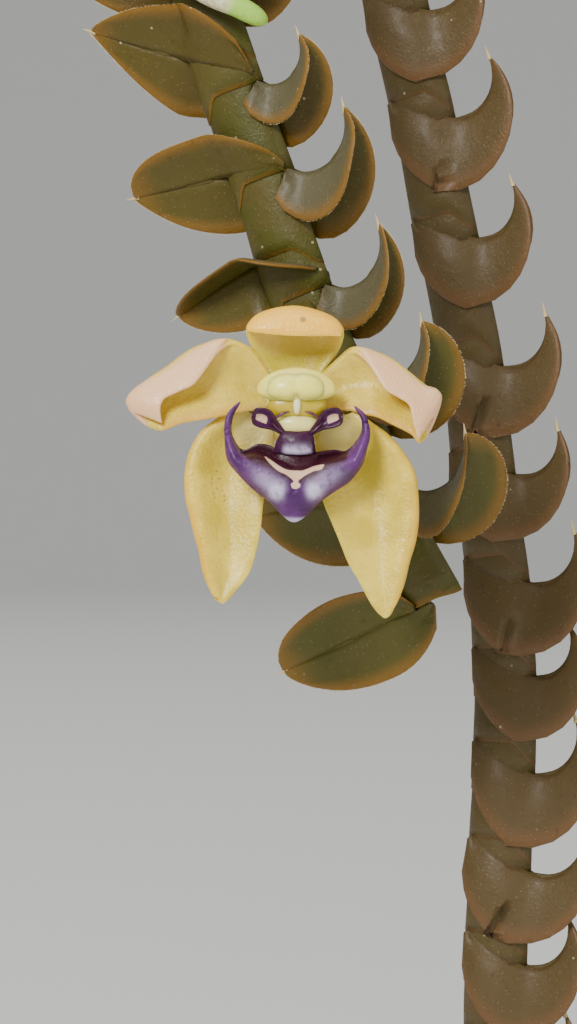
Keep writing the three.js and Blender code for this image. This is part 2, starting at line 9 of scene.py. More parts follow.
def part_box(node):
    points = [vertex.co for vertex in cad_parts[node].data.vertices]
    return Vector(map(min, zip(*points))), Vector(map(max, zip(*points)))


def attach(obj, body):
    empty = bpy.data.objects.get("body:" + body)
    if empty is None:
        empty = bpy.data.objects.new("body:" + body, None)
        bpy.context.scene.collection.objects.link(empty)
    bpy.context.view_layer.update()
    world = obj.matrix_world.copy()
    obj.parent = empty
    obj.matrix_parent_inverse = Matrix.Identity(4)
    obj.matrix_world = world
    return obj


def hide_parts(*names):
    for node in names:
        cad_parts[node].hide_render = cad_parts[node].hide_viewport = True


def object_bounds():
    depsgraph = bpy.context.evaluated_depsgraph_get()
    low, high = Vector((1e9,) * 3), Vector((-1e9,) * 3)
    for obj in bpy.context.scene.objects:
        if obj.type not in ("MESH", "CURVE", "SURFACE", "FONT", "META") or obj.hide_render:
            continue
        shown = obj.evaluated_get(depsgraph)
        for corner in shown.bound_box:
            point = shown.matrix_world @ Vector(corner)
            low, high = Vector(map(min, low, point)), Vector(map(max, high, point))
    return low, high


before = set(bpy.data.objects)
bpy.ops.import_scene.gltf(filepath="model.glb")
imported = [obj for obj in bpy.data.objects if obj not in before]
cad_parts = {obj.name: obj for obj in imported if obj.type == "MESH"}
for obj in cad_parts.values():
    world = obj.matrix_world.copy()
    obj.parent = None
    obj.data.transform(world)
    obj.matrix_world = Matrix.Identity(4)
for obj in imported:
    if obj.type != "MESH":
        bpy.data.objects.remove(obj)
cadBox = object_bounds()
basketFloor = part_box("slat_left_1")[0].z  # underside of the basket, below the hook
print("frame loaded")

# Points are worked out in millimetres from the basket's underside, then moved into the frame.


def toFrame(points):
    moved = np.array(points, float) * 0.001
    moved[..., 2] += basketFloor
    return moved


def unit(vectors):
    return vectors / np.maximum(np.linalg.norm(vectors, axis=-1, keepdims=True), 1e-9)


def ease(low, high, value):
    share = np.clip((np.asarray(value, float) - low) / (high - low), 0, 1)
    return share * share * (3 - 2 * share)


def mixed(first, second, share):
    return first + (second - first) * share


# Meshes are piled up from grids of points, each with four marks that its material reads.


def newPile():
    return {"points": [], "quads": [], "marks": [], "count": 0}


def addGrid(pile, grid, marks, ring=False):
    rows, columns = grid.shape[:2]
    index = np.arange(rows * columns).reshape(rows, columns) + pile["count"]
    if ring:
        index = np.concatenate([index, index[:, :1]], axis=1)
    corners = [index[:-1, :-1], index[:-1, 1:], index[1:, 1:], index[1:, :-1]]
    pile["quads"].append(np.stack(corners, axis=-1).reshape(-1, 4))
    pile["points"].append(grid.reshape(-1, 3))
    pile["marks"].append(np.broadcast_to(marks, (rows, columns, 4)).reshape(-1, 4))
    pile["count"] += rows * columns


def pileObject(name, pile, material):
    points = toFrame(np.concatenate(pile["points"]))
    quads = np.concatenate(pile["quads"])
    mesh = bpy.data.meshes.new(name)
    mesh.vertices.add(len(points))
    mesh.vertices.foreach_set("co", points.astype(np.float32).ravel())
    mesh.loops.add(quads.size)
    mesh.loops.foreach_set("vertex_index", quads.astype(np.int32).ravel())
    mesh.polygons.add(len(quads))
    mesh.polygons.foreach_set("loop_start", np.arange(0, quads.size, 4, dtype=np.int32))
    mesh.update(calc_edges=True)
    mesh.polygons.foreach_set("use_smooth", np.full(len(quads), True))
    marks = mesh.attributes.new("marks", "FLOAT_COLOR", "POINT")
    marks.data.foreach_set("color", np.concatenate(pile["marks"]).astype(np.float32).ravel())
    mesh.materials.append(material)
    piece = bpy.data.objects.new(name, mesh)
    bpy.context.scene.collection.objects.link(piece)
    return piece


def putOn(piece, slotName, *nodes):
    if nodes:
        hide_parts(*nodes)
    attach(piece, "root")


def tubeGrid(path, radii, sides):
    path = np.asarray(path, float)
    along = unit(np.gradient(path, axis=0))
    across = np.zeros_like(path)
    guide = np.array([1.0, 0, 0]) if abs(along[0, 0]) < 0.7 else np.array([0, 1.0, 0])
    for i in range(len(path)):
        guide = unit(guide - along[i] * guide.dot(along[i]))
        across[i] = guide
    side = np.cross(along, across)
    angles = np.linspace(0, 2 * math.pi, sides, endpoint=False)[None, :, None]
    radii = np.broadcast_to(radii, (len(path),))[:, None, None]
    ring = across[:, None] * np.cos(angles) + side[:, None] * np.sin(angles)
    return path[:, None] + ring * radii


def smoothPath(points, count):
    # a curve through the given points, evenly spaced along its length
    points = np.array(points, float)
    padded = np.vstack([2 * points[0] - points[1], points, 2 * points[-1] - points[-2]])
    dense = []
    for a, b, c, d in zip(padded, padded[1:], padded[2:], padded[3:]):
        knots = [0]
        for low, high in ((a, b), (b, c), (c, d)):
            knots.append(knots[-1] + max(np.linalg.norm(high - low), 1e-6) ** 0.5)
        t = np.linspace(knots[1], knots[2], 40, endpoint=False)[:, None]
        ab = (knots[1] - t) / (knots[1] - knots[0]) * a + (t - knots[0]) / (knots[1] - knots[0]) * b
        bc = (knots[2] - t) / (knots[2] - knots[1]) * b + (t - knots[1]) / (knots[2] - knots[1]) * c
        cd = (knots[3] - t) / (knots[3] - knots[2]) * c + (t - knots[2]) / (knots[3] - knots[2]) * d
        abc = (knots[2] - t) / (knots[2] - knots[0]) * ab + (t - knots[0]) / (knots[2] - knots[0]) * bc
        bcd = (knots[3] - t) / (knots[3] - knots[1]) * bc + (t - knots[1]) / (knots[3] - knots[1]) * cd
        share = (t - knots[1]) / (knots[2] - knots[1])
        dense.append((1 - share) * abc + share * bcd)
    dense = np.vstack(dense + [points[-1:]])
    run = np.concatenate([[0], np.cumsum(np.linalg.norm(np.diff(dense, axis=0), axis=1))])
    even = np.linspace(0, run[-1], count)
    return np.stack([np.interp(even, run, dense[:, k]) for k in range(3)], axis=1), run[-1]


# Materials


def newMaterial(name, settings):
    material = bpy.data.materials.new(name)
    material.use_nodes = True
    tree = material.node_tree
    shader = tree.nodes["Principled BSDF"]
    for socket, value in settings.items():
        shader.inputs[socket].default_value = value
    return material, tree, shader


def place(tree):
    return tree.nodes.new("ShaderNodeTexCoord").outputs["Object"]


def noiseOf(tree, coordinates, scale, detail=4, rough=0.55, stretch=None):
    if stretch:
        mapping = tree.nodes.new("ShaderNodeMapping")
        mapping.inputs["Scale"].default_value = stretch
        tree.links.new(coordinates, mapping.inputs["Vector"])
        coordinates = mapping.outputs["Vector"]
    texture = tree.nodes.new("ShaderNodeTexNoise")
    texture.inputs["Scale"].default_value = scale
    texture.inputs["Detail"].default_value = detail
    texture.inputs["Roughness"].default_value = rough
    tree.links.new(coordinates, texture.inputs["Vector"])
    return texture.outputs["Fac"]


def cellsOf(tree, coordinates, scale):
    texture = tree.nodes.new("ShaderNodeTexVoronoi")
    texture.inputs["Scale"].default_value = scale
    tree.links.new(coordinates, texture.inputs["Vector"])
    return texture.outputs["Distance"]


def stepped(tree, value, low, high, fromValue=0.0, toValue=1.0):
    node = tree.nodes.new("ShaderNodeMapRange")
    node.interpolation_type = "SMOOTHSTEP"
    node.inputs["From Min"].default_value = low
    node.inputs["From Max"].default_value = high
    node.inputs["To Min"].default_value = fromValue
    node.inputs["To Max"].default_value = toValue
    tree.links.new(value, node.inputs["Value"])
    return node.outputs["Result"]


def counted(tree, operation, first, second):
    node = tree.nodes.new("ShaderNodeMath")
    node.operation = operation
    for socket, value in zip(node.inputs, (first, second)):
        if isinstance(value, (int, float)):
            socket.default_value = value
        else:
            tree.links.new(value, socket)
    return node.outputs[0]


def coloured(tree, share, first, second):
    node = tree.nodes.new("ShaderNodeMix")
    node.data_type = "RGBA"
    sockets = [s for s in node.inputs if s.enabled]
    for socket, value in zip(sockets, (share, first, second)):
        if isinstance(value, (int, float)):
            socket.default_value = value
        elif isinstance(value, tuple):
            socket.default_value = (*value, 1)
        else:
            tree.links.new(value, socket)
    return [s for s in node.outputs if s.enabled][0]


def bumped(tree, shader, height, distance, strength=1.0, under=None):
    node = tree.nodes.new("ShaderNodeBump")
    node.inputs["Distance"].default_value = distance
    node.inputs["Strength"].default_value = strength
    tree.links.new(height, node.inputs["Height"])
    if under:
        tree.links.new(under, node.inputs["Normal"])
    tree.links.new(node.outputs["Normal"], shader.inputs["Normal"])
    return node.outputs["Normal"]


def marksOf(tree):
    attribute = tree.nodes.new("ShaderNodeAttribute")
    attribute.attribute_name = "marks"
    parts = tree.nodes.new("ShaderNodeSeparateColor")
    tree.links.new(attribute.outputs["Color"], parts.inputs["Color"])
    return parts.outputs["Red"], parts.outputs["Green"], parts.outputs["Blue"], attribute.outputs["Alpha"]


leafLooks = {
    "flowering": {
        "old": (0.080, 0.040, 0.003), "young": (0.058, 0.056, 0.004), "sheath": (0.072, 0.056, 0.009),
        "under": (0.082, 0.070, 0.034), "margin": (0.180, 0.084, 0.008), "keel": (0.082, 0.070, 0.016),
    },
    "farther": {
        "old": (0.072, 0.040, 0.010), "young": (0.070, 0.050, 0.012), "sheath": (0.076, 0.050, 0.016),
        "under": (0.078, 0.050, 0.016), "margin": (0.130, 0.062, 0.022), "keel": (0.190, 0.105, 0.085),
    },
    "plain": {
        "old": (0.080, 0.050, 0.006), "young": (0.062, 0.078, 0.008), "sheath": (0.074, 0.068, 0.013),
        "under": (0.085, 0.078, 0.034), "margin": (0.180, 0.095, 0.014), "keel": (0.095, 0.080, 0.022),
    },
}


def leafMaterial(name, looks):
    # marks: along the leaf, out to its margin, 0 upper face to 0.5 sheath to 1 under face, and youth
    material, tree, shader = newMaterial(name, {
        "Roughness": 0.5, "Subsurface Weight": 0.15, "Subsurface Scale": 0.0006,
        "Subsurface Radius": (0.8, 1.0, 0.25), "Coat Weight": 0.06, "Coat Roughness": 0.3, "IOR": 1.38,
        "Specular IOR Level": 0.35,
    })
    spot = place(tree)
    along, out, face, youth = marksOf(tree)
    broad = noiseOf(tree, spot, 260, 3)
    fine = noiseOf(tree, spot, 1500, 4, 0.65)
    specks = cellsOf(tree, spot, 2600)
    body = coloured(tree, youth, looks["old"], looks["young"])
    body = coloured(tree, stepped(tree, broad, 0.35, 0.7, 0, 0.45), body, looks["sheath"])
    isSheath = counted(tree, "MULTIPLY", stepped(tree, face, 0.2, 0.45), stepped(tree, face, 0.8, 0.55))
    sheath = coloured(tree, stepped(tree, broad, 0.4, 0.65), looks["sheath"], looks["young"])
    body = coloured(tree, isSheath, body, sheath)
    body = coloured(tree, stepped(tree, face, 0.75, 0.95), body, looks["under"])
    margin = stepped(tree, out, 0.72, 1.0, 0, 0.8)
    tipAndMargin = counted(tree, "MAXIMUM", margin, stepped(tree, along, 0.78, 1.0, 0, 0.7))
    body = coloured(tree, tipAndMargin, body, looks["margin"])
    body = coloured(tree, stepped(tree, out, 0.16, 0.04, 0, 0.75), body, looks["keel"])
    body = coloured(tree, stepped(tree, fine, 0.6, 0.78, 0, 0.5), body, tuple(c * 0.35 for c in looks["old"]))
    dots = stepped(tree, cellsOf(tree, spot, 620), 0.075, 0.05, 0, 0.7)
    dots = counted(tree, "MULTIPLY", dots, stepped(tree, broad, 0.5, 0.56))
    body = coloured(tree, dots, body, (0.44, 0.38, 0.20))
    body = coloured(tree, stepped(tree, specks, 0.16, 0.07, 0, 0.25), body, (0.40, 0.36, 0.20))
    body = coloured(tree, stepped(tree, out, 1.08, 1.18, 0, 0.8), body, (0.62, 0.48, 0.24))
    tree.links.new(body, shader.inputs["Base Color"])
    tree.links.new(stepped(tree, fine, 0.3, 0.8, 0.44, 0.66), shader.inputs["Roughness"])
    pebbles = cellsOf(tree, spot, 5200)
    first = bumped(tree, shader, pebbles, 0.00004, 0.55)
    bumped(tree, shader, noiseOf(tree, spot, 700, 3), 0.00018, 0.5, first)
    return material


# Stems and leaves

stems = {
    "stem_flowering": {
        "path": [(-11, -20, 44), (-11.5, -27, 59), (-12.5, -43, 70), (-13.5, -59, 65), (-14, -69, 46),
                 (-13.5, -73, 22), (-11.8, -75, -2), (-8.2, -77, -22.6), (-6.2, -77, -29.8),
                 (-4.1, -77, -36.4), (-1.6, -77, -43.6), (0.5, -77, -50.2), (4.0, -77, -58.9),
                 (7.3, -77, -67.6), (10.3, -77, -73.4)],
        "rank": (0.9, -0.43, 0), "front": (0, -1, 0), "pair": 8.1, "looks": "flowering",
        "shapes": ("turnedUp", "hooked"),
    },
    "stem_front_long": {
        "path": [(7, -22, 44), (7.5, -31, 58), (8, -45, 67), (7.5, -58, 60), (6, -62, 42), (4.5, -62, 15),
                 (5.6, -61, -8), (8.4, -60, -26.8), (10.3, -60, -34.7), (12.3, -60, -44.9),
                 (14.2, -60, -54.3), (15.4, -60, -64.5), (16.6, -60, -73.9), (17, -60, -81.8),
                 (16.6, -60, -93.5), (16.2, -60, -107.2), (17, -60, -116)],
        "rank": (0.9, -0.43, 0), "front": (0, -1, 0), "pair": 8.6, "looks": "farther",
        "shapes": (None, "scoop"),
        "heights": (-115.4, -107.4, -100, -92.6, -85, -77.6, -70.4, -62, -53.6, -43.8, -34.4),
    },
    "stem_front_left": {
        "path": [(-25, -16, 44), (-28.5, -26, 58), (-33, -44, 67), (-37, -58, 60), (-40, -66, 40),
                 (-43, -68, 12), (-46, -68, -18), (-47, -67, -52)],
        "rank": (0.8, 0.6, 0), "front": (0, -1, 0),
    },
    "stem_front_right": {
        "path": [(24, -14, 44), (27, -26, 58), (30, -44, 66), (33.5, -58, 58), (38, -65, 38), (42, -66, 12),
                 (44, -65, -26)],
        "rank": (1, -0.2, 0), "front": (0, -1, 0),
    },
    "stem_left": {
        "path": [(-26, 6, 44), (-36, 4, 60), (-48, 1, 66), (-60, -3, 58), (-67, -6, 38), (-69, -8, 8),
                 (-70, -8, -28), (-69, -10, -66)],
        "rank": (0.2, -1, 0), "front": (-1, 0, 0),
    },
    "stem_right": {
        "path": [(26, 2, 44), (36, 4, 59), (48, 8, 65), (60, 10, 57), (67, 11, 37), (69, 12, 8),
                 (69, 11, -42)],
        "rank": (0.1, 1, 0), "front": (1, 0, 0),
    },
    "stem_back_left": {
        "path": [(-14, 18, 44), (-18, 30, 60), (-23, 46, 67), (-28, 60, 60), (-34, 68, 38), (-42, 70, 12),
                 (-49, 69, -16), (-52, 68, -40)],
        "rank": (-1, 0.1, 0), "front": (0, 1, 0),
    },
    "stem_back_right": {
        "path": [(17, 20, 44), (20, 32, 59), (24, 46, 66), (29, 60, 59), (36, 68, 38), (45, 70, 10),
                 (51, 70, -20), (53, 69, -60)],
        "rank": (-1, -0.2, 0), "front": (0, 1, 0),
    },
    "stem_back_short": {
        "path": [(1, 26, 44), (1, 36, 58), (0, 48, 65), (-1, 60, 58), (-2, 67, 38), (-3, 69, 4)],
        "rank": (-1, 0, 0), "front": (0, 1, 0),
    },
    "stem_young_left": {
        "path": [(-9, 2, 46), (-10, 0, 62), (-14, -3, 78), (-22, -5, 88), (-31, -6, 86)],
        "rank": (0.1, 1, 0.1), "front": (0, 0, 1), "young": 0.6,
    },
    "stem_young_right": {
        "path": [(9, 5, 46), (10, 6, 64), (13, 9, 80), (19, 12, 92)],
        "rank": (0.6, -0.8, 0), "front": (0.8, 0.6, 0.2), "young": 0.6,
    },
}


stemSteps = 900


def stemAxes(stem):
    # centre, along, rank and side of a stem every quarter millimetre
    path, length = smoothPath(stem["path"], stemSteps)
    along = unit(np.gradient(path, axis=0))
    rank = np.array(stem["rank"], float)
    rank = unit(rank - along * (along @ rank)[:, None])
    side = np.cross(along, rank)
    if side[stemSteps // 2] @ np.array(stem["front"], float) < 0:
        side = -side
    run = np.linspace(0, length, stemSteps)
    return {"length": length, "run": run, "centre": path, "along": along, "rank": rank, "side": side}


def axesAt(axes, distance):
    distance = np.asarray(distance, float)

    def pick(key):
        return np.stack([np.interp(distance, axes["run"], axes[key][:, k]) for k in range(3)], axis=-1)

    centre = pick("centre")
    beyond = np.clip(distance - axes["length"], 0, None)
    centre = centre + axes["along"][-1] * beyond[..., None]
    return centre, unit(pick("along")), unit(pick("rank")), unit(pick("side"))


sheathShape = {"halfWide": 2.55, "halfThick": 1.25, "flare": 0.22, "wall": 0.2, "tongue": 1.6, "lens": 0.72}
leafShapes = {
    # reach: how far past the stem's middle the leaf starts, cross: slope of its line over the stem's face
    # twist turns the blade about its midrib, fold is how far each half turns from flat towards the stem's tip
    "turnedUp": {"free": 7.8, "reach": 2.5, "cross": -13, "slide": -1.1, "bend": (-8, -10), "twist": (68, 72),
                 "fold": (8, 14), "cup": 10, "near": (3.6, 0.45, 2.4, 0.5), "far": (4.3, 0.4, 1.6, 0.9)},
    "hooked": {"free": 7.2, "reach": -2.2, "cross": 20, "slide": 0, "bend": (50, -90), "twist": (4, 10),
               "fold": (80, 50), "cup": 6, "near": (3.2, 0.3, 1.7, 0.95), "far": (4.6, 0.28, 1.2, 1.1)},
    "scoop": {"free": 6.8, "reach": 2.5, "cross": 28, "slide": 1.9, "bend": (26, -108), "twist": (0, 4),
              "fold": (84, 72), "cup": 9, "near": (5.6, 0.42, 1.4, 1.6), "far": (4.2, 0.42, 1.4, 1.5)},
    "open": {"free": 7.6, "reach": 1.0, "cross": 14, "slide": 0, "bend": (32, -52), "twist": (34, 44),
             "fold": (66, 30), "cup": 8, "near": (3.7, 0.42, 1.9, 0.75), "far": (3.7, 0.42, 1.9, 0.75)},
}
# leaves of the flowering stem that differ, counted from its tip, then 0 for the left rank or 1 for the right;
# None leaves the sheath bare
ownShapes = {
    (0, 0): {"free": 11.3, "reach": -0.6, "cross": -4, "slide": 0.6, "bend": (2, -2), "twist": (72, 76),
             "near": (3.7, 0.5, 2.2, 0.6), "far": (3.9, 0.36, 2.0, 0.7)},
    (0, 1): None,
    (1, 0): {"slide": -0.4, "near": (3.8, 0.45, 2.4, 0.5), "far": (5.2, 0.42, 1.9, 0.7)},
    (1, 1): {"free": 7.6, "bend": (52, -80), "fold": (76, 34), "near": (3.6, 0.34, 1.9, 0.9),
             "far": (4.6, 0.4, 1.9, 0.8)},
    (2, 1): {"free": 7.4, "bend": (42, -80), "far": (4.6, 0.36, 1.8, 0.9)},
    (3, 0): {"cross": -22, "slide": -2.4, "bend": (8, 16), "twist": (54, 56), "fold": (46, 44),
             "near": (3.4, 0.4, 2.0, 0.7), "far": (4.2, 0.45, 2.0, 0.7)},
    (3, 1): {"free": 7.6, "slide": 0.5, "far": (3.9, 0.28, 1.15, 1.2)},
    (4, 0): {"free": 8.2, "bend": (-6, -10)},
    (4, 1): {"free": 7.8, "slide": -0.3, "near": (3.8, 0.3, 1.7, 0.95), "far": (5.0, 0.28, 1.15, 1.2)},
    (5, 0): {"free": 8.6, "cross": -30, "slide": -1.8, "bend": (-32, -36), "near": (4.8, 0.3, 1.5, 0.75),
             "far": (4.3, 0.4, 1.15, 1.0)},
    (5, 1): {"free": 6.0, "slide": 1.1, "bend": (56, -96), "near": (3.0, 0.3, 1.7, 0.95),
             "far": (4.6, 0.28, 1.2, 1.1)},
}


def leafOutline(share, widest, fall, blunt):
    rising = np.sqrt(np.clip(1 - (1 - np.clip(share / widest, 0, 1)) ** 2, 0, 1))
    past = np.clip((share - widest) / (1 - widest), 0, 1)
    return np.where(share < widest, rising, (1 - past ** fall) ** blunt)


def stemSurface(across, extra=0.0):
    # how far the sheath's face stands off the stem's middle plane
    wide, thick = sheathShape["halfWide"] + 0.12, sheathShape["halfThick"] + extra
    return thick * np.clip(1 - (across / wide) ** 2, 0, 1) ** sheathShape["lens"]


def draped(points, axes, distance, near, clearance):
    # points that would sink into the stem are lifted to just above its face
    centre, along, rank, side = axesAt(axes, distance)
    centre, along, rank, side = axesAt(axes, distance + (points - centre) @ along)
    offset = points - centre
    across = np.sum(offset * rank, axis=-1)
    through = np.sum(offset * side, axis=-1) * near
    lift = np.maximum(stemSurface(across, 0.1) + clearance - through, 0)
    lift = lift * (1 - ease(0.95, 1.3, np.abs(across) / sheathShape["halfWide"]))
    return points + side * (near * lift)[..., None]


def addLeafHalf(pile, axes, distance, hand, shape, near, youth, dice, rows=24, columns=9, thickness=0.34):
    centre, along, rank, side = (part[None] for part in axesAt(axes, distance))
    outward = rank * hand
    edge = sheathShape["halfWide"] * 0.94
    crossing = shape["reach"] + edge
    total = crossing + shape["free"]
    share = 1 - (1 - np.linspace(0, 1, rows)) ** 1.25
    share[0] = 0.004
    run = share * total
    free = np.clip((run - crossing) / shape["free"], 0, 1)
    bend = np.radians(mixed(shape["bend"][0], shape["bend"][1], free ** 0.85))
    bend = np.where(run < crossing, np.radians(shape["bend"][0]) * 0.5, bend)
    fine = np.linspace(0, 1, 200)
    fineBend = np.radians(mixed(shape["bend"][0], shape["bend"][1], fine ** 0.85))
    stepOut = np.concatenate([[0], np.cumsum(np.cos(fineBend[1:])) / 199]) * shape["free"]
    stepAlong = np.concatenate([[0], np.cumsum(np.sin(fineBend[1:])) / 199]) * shape["free"]
    over = np.clip(run, 0, crossing) - shape["reach"]
    x = np.maximum(over + np.interp(free, fine, stepOut), 0.3 - sheathShape["halfWide"])
    slope = math.tan(math.radians(shape["cross"]))
    lift = np.interp(free, fine, stepAlong) - np.clip(edge - over, 0, None) * slope
    onFace = (sheathShape["halfThick"] - 0.2) * (1 - ease(0.3, 3.6, np.abs(x)))
    inner = centre + outward * x[:, None] + along * lift[:, None] + side * (near * onFace)[:, None]
    turn = np.radians(mixed(shape["twist"][0], shape["twist"][1], ease(0, 0.6, free)))[:, None]
    upward = -np.sin(bend)[:, None] * outward + np.cos(bend)[:, None] * along
    broad = np.cos(turn) * side - np.sin(turn) * upward
    upper = np.cos(turn) * upward + np.sin(turn) * side
    halfWidth, widest, fall, blunt = shape["near" if near > 0 else "far"]
    width = halfWidth * leafOutline(share, widest, fall, blunt)
    fold = mixed(shape["fold"][0], shape["fold"][1], ease(0, 0.75, free))
    v = np.linspace(0, 1, columns)
    angles = np.radians(fold[:, None] + shape["cup"] * (2 * v[None] - 1))
    direction = near * np.cos(angles)[..., None] * broad[:, None] + np.sin(angles)[..., None] * upper[:, None]
    steps = np.cumsum((direction[:, 1:] + direction[:, :-1]) / 2, axis=1)
    steps = np.concatenate([np.zeros((rows, 1, 3)), steps], axis=1)
    sheet = inner[:, None] + steps * (width[:, None, None] / (columns - 1))
    sheet = draped(sheet, axes, distance, near, mixed(-0.42, 0.2, ease(0, 0.4, v))[None])
    normal = unit(np.cross(np.gradient(sheet, axis=0), np.gradient(sheet, axis=1)))
    facing = np.sign(np.sum(normal * upper[:, None], axis=-1, keepdims=True).mean())
    normal = normal * (facing if facing else 1)
    wave = 0.07 * np.sin(share * dice.uniform(9, 15) + dice.uniform(0, 6))[:, None] * v[None] ** 2
    sheet = sheet + normal * wave[..., None]
    half = 0.5 * thickness * (1 - 0.55 * v[None] ** 3) * np.clip(width / 0.6, 0.15, 1)[:, None]
    top = sheet + normal * half[..., None]
    bottom = sheet - normal * half[..., None]
    rim = sheet[:, -1:] + unit(sheet[:, -1:] - sheet[:, -2:-1]) * 0.06
    section = np.concatenate([top, rim, bottom[:, ::-1]], axis=1)
    marks = np.zeros((rows, section.shape[1], 4))
    marks[..., 0] = share[:, None]
    out = 0.16 + 0.84 * v
    marks[..., 1] = np.concatenate([out, [1.05], out[::-1]])[None]
    marks[..., 2] = np.concatenate([np.zeros(columns), [0.0], np.ones(columns)])[None]
    marks[..., 3] = youth
    addGrid(pile, section, marks, ring=True)
    return sheet


def addMidrib(pile, near, far, youth):
    # the keel joins a leaf's two halves from the stem's edge to the tip
    line = (near[:, 0] + far[:, 0]) / 2
    start = len(line) // 3
    radii = np.linspace(0.24, 0.08, len(line) - start)
    radii[:2] = (0.02, 0.16)
    addGrid(pile, tubeGrid(line[start:], radii, 8), (0.4, 0.2, 0.0, youth), ring=True)


def addMucro(pile, sheet, youth, length=0.7):
    tip = sheet[-1, 0]
    heading = unit(sheet[-1, 0] - sheet[-4, 0])
    path = tip + heading * np.linspace(-0.5, length, 6)[:, None]
    radii = np.array([0.2, 0.17, 0.12, 0.08, 0.05, 0.012])
    addGrid(pile, tubeGrid(path, radii, 6), (1, 1.2, 0, youth), ring=True)


def addLashes(pile, sheet, youth, dice, count=190):
    # short stiff hairs along the blade's margin, longest near its tip
    margin = sheet[:, -1]
    outward = unit(sheet[:, -1] - sheet[:, -2])
    rows = np.sort(np.array([dice.uniform(0.15, 0.99) for _ in range(count)]))
    spot = rows * (len(margin) - 1)
    index = np.arange(len(margin))
    base = np.stack([np.interp(spot, index, margin[:, k]) for k in range(3)], axis=1)
    out = unit(np.stack([np.interp(spot, index, outward[:, k]) for k in range(3)], axis=1))
    along = unit(np.gradient(base, axis=0))
    length = np.array([dice.uniform(0.09, 0.2) for _ in rows]) * mixed(0.6, 1.3, rows)
    lean = np.array([dice.uniform(-0.3, 0.7) for _ in rows])
    tips = base + (out + along * lean[:, None]) * length[:, None]
    for k in range(count):
        foot, point = along[k] * 0.035, along[k] * 0.006
        flat = np.array([[base[k] - foot, base[k] + foot], [tips[k] - point, tips[k] + point]])
        addGrid(pile, flat, (rows[k], 1.2, 0, youth))


def addSheath(pile, axes, start, node, hand, youth, tongue, columns, rows=8):
    angles = np.linspace(0, 2 * math.pi, columns, endpoint=False)
    across = np.cos(angles)
    through = np.sign(np.sin(angles)) * np.abs(np.sin(angles)) ** (2 * sheathShape["lens"])
    tongue = tongue * ease(0.35, 1.0, -across * hand)
    share = np.concatenate([np.linspace(0, 1, rows), [1, 0.75]])[:, None]
    distance = start + (node + tongue[None] - start) * share
    centre, along, rank, side = axesAt(axes, distance)
    grow = np.minimum(share, 1)
    wall = np.concatenate([np.zeros(rows), [sheathShape["wall"]] * 2])[:, None]
    shoulder = np.sqrt(np.clip(1 - (1 - np.clip(share * 6, 0.35, 1)) ** 2, 0, 1))
    wideHere = (sheathShape["halfWide"] - 0.1 + sheathShape["flare"] * grow) * shoulder - wall
    thickHere = (sheathShape["halfThick"] - 0.12 + sheathShape["flare"] * 0.8 * grow) * shoulder - wall
    grid = centre + rank * (wideHere * across)[..., None] + side * (thickHere * through)[..., None]
    marks = np.zeros((len(share), columns, 4))
    marks[..., 0] = ease(0.86, 1, share) * 0.5 + 0.2
    keel = (0.3 * ease(0.5, 0.95, across))[None] * (hand > 0)
    marks[..., 1] = 0.3 + ease(0.9, 1.0, share) * 0.65 - keel
    marks[..., 2] = 0.5
    marks[..., 3] = youth
    addGrid(pile, grid, marks, ring=True)


leaflessLength = 40
leafSpacing = 8.2
leafDetail = {"near": (24, 9, 32), "far": (14, 5, 16)}  # rows and columns of a blade, columns of a sheath


def leafyStem(name, stem, material):
    dice = random.Random(name)
    axes = stemAxes(stem)
    pile = newPile()
    flowering = stem.get("looks") == "flowering"
    rows, columns, sheathColumns = leafDetail["near" if "looks" in stem else "far"]
    pair = stem.get("pair", leafSpacing)
    nodes = list(np.arange(axes["length"] - 0.6, leaflessLength - 2, -pair))
    if "heights" in stem:
        lower = axes["run"] > axes["length"] * 0.5
        nodes = list(np.interp(np.negative(stem["heights"]), -axes["centre"][lower, 2], axes["run"][lower]))
        nodes += list(np.arange(nodes[-1] - pair, leaflessLength - 2, -pair))
    for number, left in enumerate(nodes):
        youth = stem.get("young", 0.25) + 0.75 * ease(0.72, 0.96, left / axes["length"])
        youth = float(np.clip(youth + dice.uniform(-0.12, 0.12), 0, 1))
        shapes = stem.get("shapes", ("open", "open"))
        for rankSide, hand, shift in ((0, -1, 0.0), (1, 1, 0.4)):
            own = ownShapes.get((number, rankSide), {}) if flowering else {}
            leafless = shapes[rankSide] is None or own is None
            shape = {} if leafless else {**leafShapes[shapes[rankSide]], **own}
            size = 1 - 0.25 * ease(leaflessLength + 25, leaflessLength - 5, left)
            lean = 0
            if not flowering:
                size *= dice.uniform(0.92, 1.06)
                lean = dice.uniform(-9, 9)
            node = left + shift + shape.get("slide", 0)
            before = nodes[number + 1] if number + 1 < len(nodes) else left - pair
            tongue = sheathShape["tongue"] * (0.2 if number == 0 else 1)
            addSheath(pile, axes, before + shift - 1.2, node, hand, youth, tongue, sheathColumns)
            if leafless:
                continue
            shape["bend"] = (shape["bend"][0] + lean, shape["bend"][1] + lean)
            shape["free"] *= size
            for key in ("near", "far"):
                shape[key] = (shape[key][0] * size, *shape[key][1:])
            halves = []
            for near in (1, -1):
                sheet = addLeafHalf(pile, axes, node, hand, shape, near, youth, dice, rows, columns)
                halves.append(sheet)
                if flowering:
                    addLashes(pile, sheet, youth, dice)
            addMidrib(pile, *halves, youth)
            addMucro(pile, sheet, youth)
    bare = smoothPath(stem["path"], 200)[0][: int(200 * leaflessLength / axes["length"])]
    addGrid(pile, tubeGrid(bare, 1.4, 12), (0.5, 0.3, 0.5, 0.1), ring=True)
    piece = pileObject(name.replace("stem", "leafyStem"), pile, material)
    putOn(piece, "leaf", name)
    return piece


